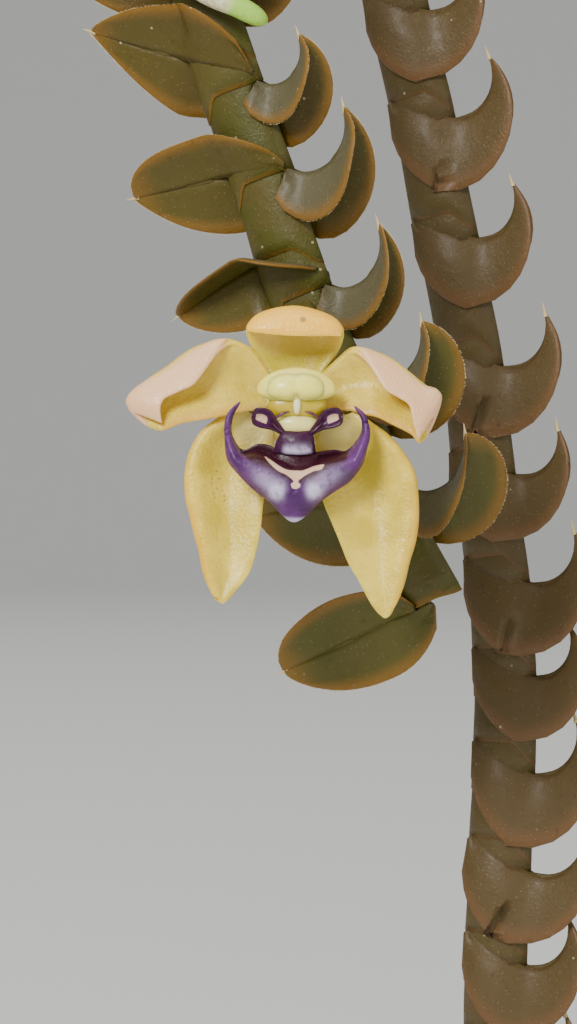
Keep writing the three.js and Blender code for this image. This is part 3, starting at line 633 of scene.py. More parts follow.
leafMaterials = {name: leafMaterial("leaf" + name.capitalize(), looks) for name, looks in leafLooks.items()}
for stemName, stemSettings in stems.items():
    leafyStem(stemName, stemSettings, leafMaterials[stemSettings.get("looks", "plain")])
print("leafy stems grown")

# Flower: points are right, up and toward the viewer from its centre

flowerSpot = (0.6, -86.0, -62.0)


def inFlower(points):
    right, up, forward = np.moveaxis(np.asarray(points, float), -1, 0)
    return np.stack([flowerSpot[0] + right, flowerSpot[1] - forward, flowerSpot[2] + up], -1)


def curveThrough(values, shares):
    # Catmull-Rom through the rows of values, read at shares of 0 to 1
    values = np.asarray(values, float)
    padded = np.concatenate([2 * values[:1] - values[1:2], values, 2 * values[-1:] - values[-2:-1]])
    spot = np.asarray(shares) * (len(values) - 1)
    first = np.clip(spot.astype(int), 0, len(values) - 2)
    t = (spot - first).reshape((-1,) + (1,) * (values.ndim - 1))
    a, b, c, d = (padded[first + k] for k in range(4))
    curve = 2 * b + (c - a) * t + (2 * a - 5 * b + 4 * c - d) * t * t + (3 * b - 3 * c + d - a) * t ** 3
    return 0.5 * curve


def fineSheet(rows, rowCount, columnCount):
    along = np.linspace(0, 1, rowCount)
    across = 0.5 - 0.5 * np.cos(np.pi * np.linspace(0, 1, columnCount))
    fine = curveThrough(np.array(rows, float), along)
    fine = curveThrough(fine.swapaxes(0, 1), across).swapaxes(0, 1)
    return fine, along, across


def addFleshy(pile, rows, thickness, kind, rowCount=60, columnCount=30, closed=(False, True), marksFrom=None):
    fine, along, across = fineSheet(rows, rowCount, columnCount)
    fine = inFlower(fine)
    normal = unit(np.cross(np.gradient(fine, axis=0), np.gradient(fine, axis=1)))
    normal[-1] = normal[-2]
    if normal[rowCount // 2, columnCount // 2] @ np.array([0, -1.0, 0]) < 0:
        normal = -normal
    profile = np.sqrt(np.clip(1 - np.abs(2 * across - 1) ** 5, 0, 1))
    ends = np.ones(rowCount)
    if closed[1]:
        ends *= np.sqrt(np.clip(1 - along ** 14, 0, 1))
    if closed[0]:
        ends *= np.sqrt(np.clip(1 - (1 - along) ** 14, 0, 1))
    half = 0.5 * thickness * profile[None, :, None] * ends[:, None, None]
    section = np.concatenate([fine + normal * half, (fine - normal * half)[:, ::-1][:, 1:-1]], axis=1)
    marks = np.zeros((rowCount, section.shape[1], 4))
    marks[:, :columnCount, 0] = along[:, None]
    marks[:, :columnCount, 1] = across[None]
    marks[:, columnCount:, 0] = along[:, None]
    marks[:, columnCount:, 1] = across[::-1][1:-1][None]
    marks[..., 2] = kind
    marks[:, columnCount:, 3] = 1
    if marksFrom is not None:
        face = fineSheet(rows, rowCount, columnCount)[0]
        face = np.concatenate([face, face[:, ::-1][:, 1:-1]], axis=1)
        marks[..., :3] = marksFrom(marks[..., 0], marks[..., 1], face[..., 0], face[..., 1])
        marks[:, columnCount:, 0] = 0
    addGrid(pile, section, marks, ring=True)


def addBlob(pile, centre, radii, marks, powers=(1, 1), rows=18, columns=28, groove=0.0, below=1.0, notch=0.0):
    # a rounded lump with its poles right and left; groove sinks a line round its middle, below flattens its
    # lower half and notch lifts the middle of its lower edge
    theta = np.linspace(0.001, math.pi - 0.001, rows)[:, None]
    phi = np.linspace(0, 2 * math.pi, columns, endpoint=False)[None]
    swell = lambda x, power: np.sign(x) * np.abs(x) ** power
    x = swell(-np.cos(theta), powers[0]) * np.ones_like(phi)
    girth = np.sin(theta) ** powers[0] * (1 - groove * np.exp(-(x * radii[0] / 0.28) ** 2))
    y = girth * swell(np.cos(phi), powers[1])
    y = np.where(y < 0, y * below * (1 - notch * np.exp(-(x * radii[0] / 0.24) ** 2)), y)
    z = girth * swell(np.sin(phi), powers[1])
    grid = np.stack([x * radii[0], y * radii[1], z * radii[2]], -1) + np.array(centre, float)
    addGrid(pile, inFlower(grid), marks, ring=True)


# Rows from base to tip. A petal's columns are its lower edge, middle, upper fold and the flap's free edge.
petalLeft = [
    [(-2.1, 2.1, 0.2), (-2.1, 3.0, -0.3), (-2.0, 4.2, -0.2), (-1.9, 4.5, 0.0)],
    [(-3.9, 1.9, 0.9), (-3.5, 3.6, -0.4), (-3.2, 5.7, -0.1), (-3.1, 6.1, 0.2)],
    [(-4.8, 1.7, 1.2), (-4.6, 3.9, -0.3), (-4.4, 6.3, 0.1), (-4.4, 6.8, 0.5)],
    [(-5.6, 1.5, 1.4), (-5.6, 3.8, -0.1), (-5.5, 6.6, 0.4), (-5.5, 6.0, 1.3)],
    [(-7.0, 1.3, 1.5), (-7.3, 3.3, 0.1), (-7.3, 6.0, 0.5), (-7.0, 3.9, 2.1)],
    [(-8.0, 1.1, 1.6), (-8.5, 2.8, 0.4), (-8.8, 4.9, 0.7), (-8.1, 3.3, 2.2)],
    [(-8.5, 0.9, 1.7), (-9.5, 2.2, 0.7), (-10.1, 4.0, 0.9), (-9.1, 2.8, 2.3)],
    [(-9.0, 0.7, 1.8), (-10.5, 1.5, 0.9), (-11.5, 2.9, 1.1), (-9.4, 2.1, 2.4)],
    [(-9.5, 0.6, 1.8), (-10.3, 0.9, 1.2), (-11.2, 1.8, 1.4), (-9.3, 1.1, 2.2)],
]
petalRight = [
    [(2.1, 2.1, 0.2), (2.0, 3.0, -0.3), (1.8, 4.2, -0.2), (1.7, 4.5, 0.0)],
    [(3.7, 2.0, 0.9), (3.3, 3.6, -0.4), (3.0, 5.2, -0.1), (2.9, 5.6, 0.2)],
    [(4.8, 1.7, 1.2), (4.3, 3.8, -0.3), (3.9, 5.9, 0.1), (3.8, 6.2, 0.5)],
    [(5.6, 1.5, 1.4), (5.2, 3.8, -0.1), (4.8, 6.0, 0.4), (4.9, 5.3, 1.4)],
    [(6.8, 0.9, 1.5), (6.5, 3.2, 0.1), (6.4, 5.4, 0.5), (6.0, 3.5, 2.1)],
    [(7.4, 0.6, 1.6), (7.4, 2.5, 0.4), (7.7, 4.4, 0.7), (6.9, 2.9, 2.2)],
    [(7.9, 0.3, 1.7), (8.3, 1.9, 0.7), (8.8, 3.5, 0.9), (7.7, 2.3, 2.3)],
    [(8.2, -0.1, 1.8), (8.9, 1.1, 0.9), (9.7, 3.1, 1.1), (8.0, 1.0, 2.4)],
    [(8.4, -0.3, 1.8), (9.0, 0.2, 1.2), (9.4, 1.5, 1.4), (8.3, -0.1, 2.2)],
]
sepalLeft = [
    [(-4.0, 2.2, 0.2), (-3.8, 2.2, 0.3), (-3.0, 1.9, -0.3), (-1.7, 1.4, 0.0)],
    [(-6.3, 0.8, 0.3), (-5.9, 0.6, 0.6), (-4.5, 0.3, -0.4), (-1.6, -0.5, 0.0)],
    [(-7.3, -0.7, 0.4), (-6.8, -0.8, 0.8), (-4.9, -1.3, -0.4), (-2.0, -1.8, 0.3)],
    [(-7.7, -2.4, 0.6), (-7.1, -2.4, 1.0), (-5.0, -2.6, -0.3), (-2.3, -2.9, 0.6)],
    [(-7.7, -4.0, 0.7), (-7.0, -4.0, 1.1), (-5.0, -4.0, -0.1), (-2.3, -4.0, 0.8)],
    [(-7.4, -5.3, 0.8), (-6.7, -5.2, 1.2), (-4.9, -5.0, 0.1), (-2.4, -4.9, 1.0)],
    [(-7.1, -6.5, 0.9), (-6.5, -6.3, 1.3), (-4.8, -6.1, 0.3), (-2.5, -6.0, 1.1)],
    [(-6.7, -7.8, 1.0), (-6.2, -7.7, 1.4), (-4.7, -7.6, 0.6), (-2.8, -7.6, 1.2)],
    [(-6.4, -9.2, 1.2), (-6.0, -9.1, 1.5), (-4.8, -9.0, 0.9), (-3.3, -9.2, 1.3)],
    [(-5.9, -10.5, 1.5), (-5.6, -10.6, 1.6), (-5.1, -10.5, 1.3), (-4.2, -10.4, 1.5)],
    [(-5.5, -11.0, 1.7), (-5.4, -11.2, 1.7), (-5.1, -11.3, 1.7), (-4.8, -11.0, 1.7)],
]
sepalRight = [
    [(4.0, 1.9, 0.2), (3.8, 1.9, 0.3), (3.0, 1.8, -0.3), (1.7, 1.4, 0.0)],
    [(5.0, 1.1, 0.3), (4.7, 1.0, 0.6), (3.4, 0.5, -0.4), (1.2, -0.6, 0.0)],
    [(6.3, 0.2, 0.4), (5.9, 0.0, 0.8), (4.2, -0.6, -0.4), (1.3, -1.8, 0.3)],
    [(7.3, -1.0, 0.6), (6.8, -1.1, 1.0), (4.7, -1.7, -0.3), (1.6, -2.8, 0.6)],
    [(8.1, -2.4, 0.7), (7.5, -2.5, 1.1), (5.2, -2.9, -0.1), (1.6, -3.6, 0.8)],
    [(8.3, -4.3, 0.8), (7.7, -4.3, 1.2), (5.3, -4.4, 0.1), (1.9, -4.6, 1.0)],
    [(8.3, -5.7, 0.9), (7.7, -5.7, 1.3), (5.5, -5.7, 0.3), (2.4, -5.8, 1.1)],
    [(8.1, -7.1, 1.0), (7.5, -7.1, 1.4), (5.6, -7.0, 0.6), (2.9, -7.0, 1.2)],
    [(7.7, -8.3, 1.2), (7.2, -8.4, 1.5), (5.7, -8.4, 0.8), (3.5, -8.5, 1.3)],
    [(7.3, -9.6, 1.3), (7.0, -9.7, 1.6), (5.8, -9.7, 1.1), (4.2, -9.7, 1.4)],
    [(6.9, -11.1, 1.5), (6.6, -11.2, 1.6), (6.0, -11.3, 1.4), (5.0, -11.2, 1.5)],
    [(6.5, -12.0, 1.7), (6.3, -12.2, 1.7), (6.0, -12.3, 1.7), (5.6, -12.0, 1.7)],
]
sepalTop = [
    [(-1.3, 3.7, 0.0), (-0.8, 3.6, -0.2), (0.0, 3.5, -0.3), (0.7, 3.6, -0.2), (1.2, 3.7, 0.0)],
    [(-2.2, 5.0, -0.3), (-1.2, 4.9, -0.8), (0.0, 4.9, -0.9), (1.1, 4.9, -0.8), (2.0, 5.0, -0.3)],
    [(-3.1, 6.3, -0.2), (-1.6, 6.3, -1.0), (0.0, 6.3, -1.2), (1.6, 6.3, -1.0), (2.9, 6.2, -0.2)],
    [(-3.5, 7.3, 0.4), (-2.3, 8.0, -0.4), (-0.1, 8.4, -0.6), (2.1, 8.0, -0.4), (3.2, 7.1, 0.4)],
    [(-3.5, 7.7, 0.8), (-2.3, 8.6, 0.5), (-0.1, 9.0, 0.4), (2.1, 8.4, 0.5), (3.2, 7.5, 0.8)],
    [(-3.5, 7.6, 1.2), (-2.4, 8.0, 1.5), (-0.1, 8.3, 1.6), (2.1, 8.0, 1.5), (3.2, 7.4, 1.2)],
    [(-3.4, 7.5, 1.6), (-2.5, 7.3, 1.9), (-0.2, 7.1, 2.1), (1.9, 7.1, 2.0), (3.0, 7.1, 1.7)],
]
# The lip's crescent from its left horn to its right: columns from its hollow upper side to its outer rim.
lipBlade = [
    [(-3.9, 2.6, 2.2), (-3.9, 2.6, 2.2), (-3.9, 2.6, 2.2), (-3.9, 2.6, 2.2), (-3.9, 2.6, 2.2)],
    [(-4.5, 1.7, 2.1), (-4.5, 1.7, 2.2), (-4.6, 1.7, 2.4), (-4.7, 1.6, 2.4), (-4.7, 1.6, 2.3)],
    [(-4.6, 0.6, 1.9), (-4.7, 0.5, 2.1), (-4.8, 0.4, 2.6), (-4.8, 0.3, 2.6), (-4.9, 0.3, 2.3)],
    [(-4.1, -0.4, 1.5), (-4.2, -0.6, 1.6), (-4.3, -0.8, 2.8), (-4.5, -1.0, 3.0), (-4.8, -1.3, 2.3)],
    [(-3.6, -0.7, 1.5), (-3.7, -1.1, 1.5), (-3.8, -1.4, 2.9), (-4.0, -1.8, 3.2), (-4.2, -2.2, 2.3)],
    [(-2.7, -0.3, 1.6), (-2.8, -0.9, 1.5), (-2.8, -1.5, 3.0), (-3.1, -2.3, 3.3), (-3.4, -3.1, 2.4)],
    [(-1.9, -0.4, 1.7), (-1.9, -1.2, 1.6), (-2.0, -1.8, 3.1), (-2.4, -2.9, 3.4), (-2.6, -3.8, 2.4)],
    [(-1.1, -0.8, 2.0), (-1.1, -1.6, 2.2), (-1.1, -2.2, 3.2), (-1.5, -3.5, 3.5), (-1.9, -4.3, 2.6)],
    [(-0.1, -1.0, 2.2), (-0.1, -1.9, 2.5), (-0.1, -2.6, 3.2), (-0.1, -4.0, 3.6), (-0.2, -5.7, 2.9)],
    [(1.0, -0.9, 2.0), (1.0, -1.7, 2.2), (1.0, -2.4, 3.2), (1.3, -3.5, 3.5), (1.7, -4.2, 2.6)],
    [(1.7, -0.8, 1.7), (1.7, -1.4, 1.6), (1.8, -1.9, 3.1), (2.2, -2.8, 3.4), (2.7, -3.5, 2.4)],
    [(2.6, -0.7, 1.6), (2.7, -1.2, 1.5), (2.8, -1.6, 3.0), (3.2, -2.2, 3.3), (3.6, -2.9, 2.4)],
    [(3.4, -0.8, 1.5), (3.5, -1.0, 1.5), (3.8, -1.3, 2.9), (4.0, -1.7, 3.2), (4.4, -1.8, 2.3)],
    [(4.0, -0.2, 1.5), (4.2, -0.3, 1.6), (4.3, -0.5, 2.8), (4.5, -0.6, 3.0), (4.7, -0.8, 2.3)],
    [(4.5, 0.6, 1.9), (4.6, 0.6, 2.1), (4.7, 0.5, 2.6), (4.8, 0.4, 2.6), (4.9, 0.3, 2.3)],
    [(4.5, 1.5, 2.1), (4.5, 1.5, 2.2), (4.6, 1.5, 2.4), (4.6, 1.4, 2.4), (4.7, 1.4, 2.3)],
    [(3.9, 2.3, 2.2), (3.9, 2.3, 2.2), (3.9, 2.3, 2.2), (3.9, 2.3, 2.2), (3.9, 2.3, 2.2)],
]
lipClaw = [
    [(-0.8, 0.6, 2.0), (0.0, 0.4, 2.2), (0.9, 0.6, 2.0)],
    [(-1.2, 0.3, 2.3), (0.0, 0.2, 2.5), (1.1, 0.3, 2.3)],
    [(-1.5, -0.3, 2.2), (0.0, -0.3, 2.7), (1.2, -0.3, 2.2)],
    [(-1.6, -1.0, 2.0), (0.0, -1.1, 2.5), (1.3, -1.0, 2.0)],
]
lipEar = [
    [(-0.8, 0.2, 2.2), (-0.9, 0.3, 2.2), (-0.9, 0.4, 2.3), (-0.8, 0.5, 2.4)],
    [(-1.6, 0.6, 2.5), (-1.6, 0.8, 2.3), (-1.5, 1.0, 2.4), (-1.4, 1.3, 2.8)],
    [(-2.1, 0.7, 2.7), (-2.0, 1.0, 2.4), (-1.9, 1.4, 2.4), (-1.8, 1.9, 3.0)],
    [(-2.6, 0.8, 2.8), (-2.5, 1.2, 2.4), (-2.4, 1.7, 2.5), (-2.3, 2.1, 3.1)],
    [(-3.0, 1.0, 2.8), (-2.9, 1.4, 2.5), (-2.8, 1.7, 2.6), (-2.8, 2.1, 3.0)],
    [(-3.0, 1.4, 2.9), (-3.1, 1.5, 2.8), (-3.1, 1.7, 2.8), (-3.0, 1.8, 2.9)],
]


def nearPoint(tree, spot, centre, reach, core, strength):
    # 1 close to a point of the flower, easing to 0 at its reach in millimetres
    distance = tree.nodes.new("ShaderNodeVectorMath")
    distance.operation = "DISTANCE"
    tree.links.new(spot, distance.inputs[0])
    distance.inputs[1].default_value = toFrame(inFlower(centre))
    return stepped(tree, distance.outputs["Value"], reach * 0.001, reach * core * 0.001, 0, strength)


def tepalMaterial():
    # marks: along, across from lower or outer margin to the other, kind, and 1 on the back
    material, tree, shader = newMaterial("tepalFlesh", {
        "Roughness": 0.42, "Subsurface Weight": 0.4, "Subsurface Scale": 0.0009,
        "Subsurface Radius": (1.0, 0.75, 0.2), "Coat Weight": 0.12, "Coat Roughness": 0.25, "IOR": 1.4,
    })
    spot = place(tree)
    along, across, kind, back = marksOf(tree)
    broad = noiseOf(tree, spot, 420, 3)
    fine = noiseOf(tree, spot, 1900, 4, 0.6)
    body = coloured(tree, stepped(tree, broad, 0.35, 0.68), (0.58, 0.43, 0.030), (0.74, 0.56, 0.070))
    isPetal = counted(tree, "MULTIPLY", stepped(tree, kind, 0.2, 0.4), stepped(tree, kind, 0.8, 0.6))
    outer = counted(tree, "ADD", across, stepped(tree, along, 0.7, 0.95, 0, 0.4))
    flap = counted(tree, "MULTIPLY", isPetal, stepped(tree, outer, 0.66, 0.80))
    flap = counted(tree, "MULTIPLY", flap, stepped(tree, along, 0.26, 0.36))
    body = coloured(tree, flap, body, (0.76, 0.45, 0.24))
    isTop = stepped(tree, kind, 0.7, 0.9)
    crown = counted(tree, "MULTIPLY", isTop, stepped(tree, along, 0.6, 0.72))
    body = coloured(tree, crown, body, (0.92, 0.50, 0.045))
    throat = counted(tree, "MULTIPLY", isTop, stepped(tree, along, 0.5, 0.2))
    body = coloured(tree, throat, body, (0.52, 0.44, 0.025))
    isSepal = stepped(tree, kind, 0.3, 0.1)
    bevel = counted(tree, "MULTIPLY", isSepal, stepped(tree, across, 0.42, 0.06, 0, 0.9))
    bevel = counted(tree, "MULTIPLY", bevel, stepped(tree, along, 0.12, 0.6, 0.35, 1.0))
    body = coloured(tree, bevel, body, (0.74, 0.37, 0.012))
    rim = counted(tree, "MULTIPLY", isPetal, stepped(tree, across, 0.14, 0.02, 0, 0.7))
    body = coloured(tree, rim, body, (0.62, 0.33, 0.03))
    for centre, reach in (((-2.9, 0.8, 0.2), 2.2), ((2.9, 0.5, 0.2), 2.4)):
        body = coloured(tree, nearPoint(tree, spot, centre, reach, 0.4, 0.6), body, (0.56, 0.48, 0.20))
    specks = cellsOf(tree, spot, 2400)
    speckled = nearPoint(tree, spot, (-4.4, -2.9, 0.4), 2.4, 0.5, 0.8)
    speckled = counted(tree, "MAXIMUM", speckled, stepped(tree, broad, 0.54, 0.64, 0, 0.25))
    scattered = counted(tree, "MULTIPLY", stepped(tree, specks, 0.26, 0.12), speckled)
    body = coloured(tree, scattered, body, (0.30, 0.16, 0.05))
    for centre, reach in (((0.4, 8.2, 1.9), 0.32), ((-4.3, 6.1, 0.0), 0.26)):
        body = coloured(tree, nearPoint(tree, spot, centre, reach, 0.5, 0.8), body, (0.34, 0.14, 0.03))
    body = coloured(tree, stepped(tree, fine, 0.6, 0.78, 0, 0.22), body, (0.86, 0.74, 0.25))
    tree.links.new(body, shader.inputs["Base Color"])
    tree.links.new(stepped(tree, fine, 0.3, 0.7, 0.3, 0.5), shader.inputs["Roughness"])
    warts = cellsOf(tree, spot, 4200)
    first = bumped(tree, shader, warts, 0.00006, 0.6)
    bumped(tree, shader, noiseOf(tree, spot, 650, 3), 0.00022, 0.5, first)
    return material


def lipMaterial():
    # marks: along from the left horn to the right one, across from the hollow to the outer rim, kind
    material, tree, shader = newMaterial("lipFlesh", {
        "Roughness": 0.4, "Subsurface Weight": 0.12, "Subsurface Scale": 0.0004,
        "Subsurface Radius": (1.0, 0.4, 0.7), "Coat Weight": 0.08, "Coat Roughness": 0.2, "IOR": 1.38,
        "Specular IOR Level": 0.35,
    })
    spot = place(tree)
    # the third mark is painted shade in the crescent's hollow; on the claw and round the ears it only darkens
    # them
    pale, frosted, darkAndPaintedShade, _ = marksOf(tree)
    fine = noiseOf(tree, spot, 1700, 4, 0.6)
    broad = noiseOf(tree, spot, 600, 3)
    purple = coloured(tree, stepped(tree, broad, 0.35, 0.7), (0.048, 0.010, 0.068), (0.100, 0.024, 0.130))
    # painted shade: the crescent's hollow is darkened to near-black maroon, and the same dark covers the claw
    # and the ears' rims
    body = coloured(tree, darkAndPaintedShade, purple, (0.030, 0.002, 0.009))
    mottled = counted(tree, "MULTIPLY", frosted, stepped(tree, fine, 0.3, 0.52, 0.45, 1))
    body = coloured(tree, mottled, body, (0.50, 0.42, 0.58))
    body = coloured(tree, stepped(tree, pale, 0.46, 0.56), body, (0.60, 0.40, 0.25))
    tree.links.new(body, shader.inputs["Base Color"])
    tree.links.new(stepped(tree, fine, 0.3, 0.7, 0.3, 0.55), shader.inputs["Roughness"])
    bumped(tree, shader, cellsOf(tree, spot, 4600), 0.00005, 0.6)
    return material


def columnMaterial():
    # marks: red 0 for the pale cap, 1 for the yellow front; green for the white tab; blue for purple lines
    material, tree, shader = newMaterial("columnFlesh", {
        "Roughness": 0.33, "Subsurface Weight": 0.5, "Subsurface Scale": 0.0009,
        "Subsurface Radius": (1.0, 0.8, 0.4), "Coat Weight": 0.2, "Coat Roughness": 0.2, "IOR": 1.42,
    })
    spot = place(tree)
    yellow, white, purple, _ = marksOf(tree)
    fine = noiseOf(tree, spot, 1400, 3)
    body = coloured(tree, yellow, (0.90, 0.76, 0.13), (0.50, 0.37, 0.012))
    body = coloured(tree, white, body, (0.86, 0.82, 0.62))
    body = coloured(tree, purple, body, (0.075, 0.018, 0.040))
    body = coloured(tree, stepped(tree, fine, 0.55, 0.8, 0, 0.3), body, (0.66, 0.48, 0.10))
    tree.links.new(body, shader.inputs["Base Color"])
    bumped(tree, shader, noiseOf(tree, spot, 900, 3), 0.00012, 0.4)
    return material


def bump(value, centre, spread):
    return np.exp(-((value - centre) / spread) ** 2)


# the pale line across the lip's hollow: right, up and half its width
smileLine = [(-2.3, -1.38, 0.03), (-1.95, -1.68, 0.1), (-1.3, -2.15, 0.14), (-0.75, -2.4, 0.15),
             (-0.1, -2.62, 0.3), (0.45, -2.48, 0.17), (1.1, -2.22, 0.14), (1.6, -2.08, 0.14),
             (1.84, -1.95, 0.05)]


def rampOf(inside):
    # 0.5 on a marking's edge, so that the shader can draw the edge sharply
    return np.clip(0.5 + inside * 1.6, 0, 1)


def bladeMarks(along, across, right, up):
    # the pale line and the heart under it, the frosted patches, and painted shade darkening the crescent's
    # hollow
    line = curveThrough(smileLine, np.linspace(0, 1, 120))
    gaps = np.hypot(right[..., None] - line[:, 0], up[..., None] - line[:, 1]) - line[:, 2]
    smile = -gaps.min(axis=-1)
    heart = 0.36 - np.hypot(right + 0.13, (up + 3.28) * 1.3) - 0.5 * np.clip(-3.28 - up, 0, 1)
    middle = np.abs(along - 0.5)
    lowPatches = np.exp(-((np.abs(right + 0.15) - 1.25) / 0.42) ** 2 - ((up + 3.6) / 0.42) ** 2)
    crest = 0.5 * bump(across, 0.72, 0.12) * ease(0.24, 0.1, middle) * ease(0.02, 0.05, middle)
    tip = 0.9 * ease(-5.2, -5.5, up)
    frosted = np.clip(lowPatches + crest + tip, 0, 1)
    # painted shade runs across the crescent from its hollow side up to this edge
    edge = 0.6 - 0.35 * ease(0.2, 0.27, middle) - 0.4 * ease(0.25, 0.33, middle)
    return np.stack([rampOf(np.maximum(smile, heart)), frosted, ease(edge + 0.05, edge - 0.05, across)], -1)


def clawMarks(along, across, right, up):
    frosted = bump(along, 0.86, 0.14) * ease(0.15, 0.3, across) * ease(0.92, 0.75, across)
    return np.stack([0 * along, frosted, 0.75 + 0 * along], -1)


def earMarks(along, across, right, up):
    sideways = np.minimum(across - 0.24, 0.76 - across) * 1.4
    lengthways = np.minimum(along - 0.45, 0.84 - along) * 2.2
    middle = rampOf(np.minimum(sideways, lengthways))
    return np.stack([middle, 0 * along, 0.85 * (1 - middle)], -1)


def mirroredRows(rows):
    return [[(-right, up, forward) for right, up, forward in row] for row in rows]


def addFlower():
    tepals = newPile()
    for rows, kind in ((petalLeft, 0.5), (petalRight, 0.5), (sepalLeft, 0), (sepalRight, 0), (sepalTop, 1)):
        addFleshy(tepals, rows, 0.62, kind)
    addBlob(tepals, (0, 2.1, -0.6), (3.6, 2.4, 1.0), (0.5, 0.5, 0, 0))
    putOn(pileObject("tepalFlesh", tepals, tepalMaterial()), "tepal", "tepals")
    lip = newPile()
    addFleshy(lip, lipBlade, 0.42, 0, 170, 44, (True, True), bladeMarks)
    addFleshy(lip, lipClaw, 0.5, 0, 30, 30, (True, True), clawMarks)
    for rows in (lipEar, mirroredRows(lipEar)):
        addFleshy(lip, rows, 0.3, 0, 30, 26, (True, True), earMarks)
    putOn(pileObject("lipFlesh", lip, lipMaterial()), "lip", "lip")
    column = newPile()
    addBlob(column, (-0.05, 3.3, 2.3), (2.72, 1.62, 0.85), (0.15, 0, 0, 0), rows=40, below=0.5)
    addBlob(column, (-0.1, 3.35, 2.55), (2.0, 1.2, 1.0), (0, 0, 0, 0), powers=(0.8, 1), rows=48, groove=0.06,
            below=0.62, notch=0.5)
    addBlob(column, (0.0, 2.3, 1.95), (2.0, 0.95, 0.8), (1, 0, 0, 0), powers=(0.75, 1), rows=30)
    addBlob(column, (0.0, 1.05, 1.85), (1.66, 0.8, 0.85), (0.3, 0.25, 0, 0), rows=30)
    addBlob(column, (-0.02, 2.3, 2.75), (0.27, 0.6, 0.3), (0, 0.6, 0, 0))
    brow = [(0.5, 1.88, 2.72), (0.95, 1.76, 2.74), (1.4, 1.5, 2.65), (1.75, 1.35, 2.6)]
    jaw = [(1.75, 1.3, 2.6), (1.5, 0.9, 2.5), (1.15, 0.6, 2.45), (0.8, 0.35, 2.4)]
    for side in (-1, 1):
        for line, width in ((brow, 0.11), (jaw, 0.09)):
            path, _ = smoothPath(inFlower(np.array(line) * (side, 1, 1)), 24)
            radii = width * np.sin(np.linspace(0.25, 2.9, 24))
            addGrid(column, tubeGrid(path, radii, 8), (0, 0, 1, 0), ring=True)
    putOn(pileObject("columnFlesh", column, columnMaterial()), "column", "column")
    stalk = newPile()
    points = [(1.2, -77, -51), (1.6, -79, -53.5), (1.5, -80.6, -57), (0.9, -82.2, -59.5), (0.6, -84.6, -60.1)]
    path, _ = smoothPath(points, 40)
    addGrid(stalk, tubeGrid(path, np.linspace(0.5, 0.9, 40), 14), (0.4, 0.3, 0.5, 0.9), ring=True)
    putOn(pileObject("flowerStalk", stalk, leafMaterials["flowering"]), "leaf")


addFlower()
print("flower opened")

# Aerial roots: one beside the flowering stem, the others out of the moss and over the rim


def rootMaterial():
    # marks: red 1 at the green tip
    material, tree, shader = newMaterial("rootSkin", {"Roughness": 0.75, "IOR": 1.4})
    spot = place(tree)
    tip, _, _, _ = marksOf(tree)
    fine = noiseOf(tree, spot, 1300, 4, 0.65)
    body = coloured(tree, stepped(tree, fine, 0.35, 0.65), (0.46, 0.40, 0.22), (0.66, 0.62, 0.42))
    body = coloured(tree, tip, body, (0.30, 0.52, 0.06))
    tree.links.new(body, shader.inputs["Base Color"])
    bumped(tree, shader, fine, 0.0002, 0.8)
    return material


# "beside" runs next to the flowering stem; "turns" are the headings of the roots over the rim, in radians
roots = {
    "beside": [(-11, -77.5, -25.5), (-8.2, -79.6, -28.4), (-5.4, -80.6, -30.1), (-3.2, -80.8, -31.2),
               (-1.5, -80.6, -32.1)],
    "besideRadius": 0.85, "turns": (-2.35, -1.85, -1.2, -0.5, 0.35, 1.25, 1.85, 2.75),
    "steps": 90, "sides": 12,
}


def addRoots():
    dice = random.Random("roots")
    routes = [(roots["beside"], roots["besideRadius"])]
    for turn in roots["turns"]:
        turn += dice.uniform(-0.12, 0.12)
        out = np.array([math.cos(turn), math.sin(turn), 0]) / max(abs(math.cos(turn)), abs(math.sin(turn)))
        aside = np.array([-out[1], out[0], 0]) * dice.uniform(-6, 6)
        drop = dice.uniform(8, 34)
        steps = ((0.46, 52.5), (0.72, 54.5), (0.94, 54.2), (1.06, 51.5), (1.13, 44), (1.12, 40 - drop * 0.5),
                 (1.15, 38 - drop))
        route = [out * 41 * reach + aside * k / 6 + (0, 0, height) for k, (reach, height) in enumerate(steps)]
        routes.append((route, dice.uniform(0.6, 0.85)))
    pile = newPile()
    for route, radius in routes:
        path, length = smoothPath(route, roots["steps"])
        left = length * (1 - np.linspace(0, 1, roots["steps"]))
        radii = radius * np.sqrt(np.clip(1 - (1 - np.clip(left / 2.2, 0, 1)) ** 2, 0.002, 1))
        radii = radii * (1 + 0.08 * np.sin(np.linspace(0, length * 1.3, roots["steps"]) + dice.uniform(0, 6)))
        marks = np.zeros((roots["steps"], roots["sides"], 4))
        marks[..., 0] = ease(3.4, 2.4, left)[:, None]
        addGrid(pile, tubeGrid(path, radii, roots["sides"]), marks, ring=True)
    putOn(pileObject("aerialRoots", pile, rootMaterial()), "leaf")


addRoots()
print("roots grown")

# Basket, hanger and moss

hangDrop = -basketFloor * 1000
slat = {"length": 100, "width": 9, "height": 8, "gap": 0.2, "inset": 9, "bevel": 0.9,
        "unevenness": (0.018, 0.012)}
tierCount = 6
floorSlatSpacing = 20.5
tierPitch = slat["height"] + slat["gap"]
rimHeight = tierCount * tierPitch - slat["gap"]
slatCentre = slat["length"] / 2 - slat["inset"]
floorTop = 2 * tierPitch - slat["gap"]


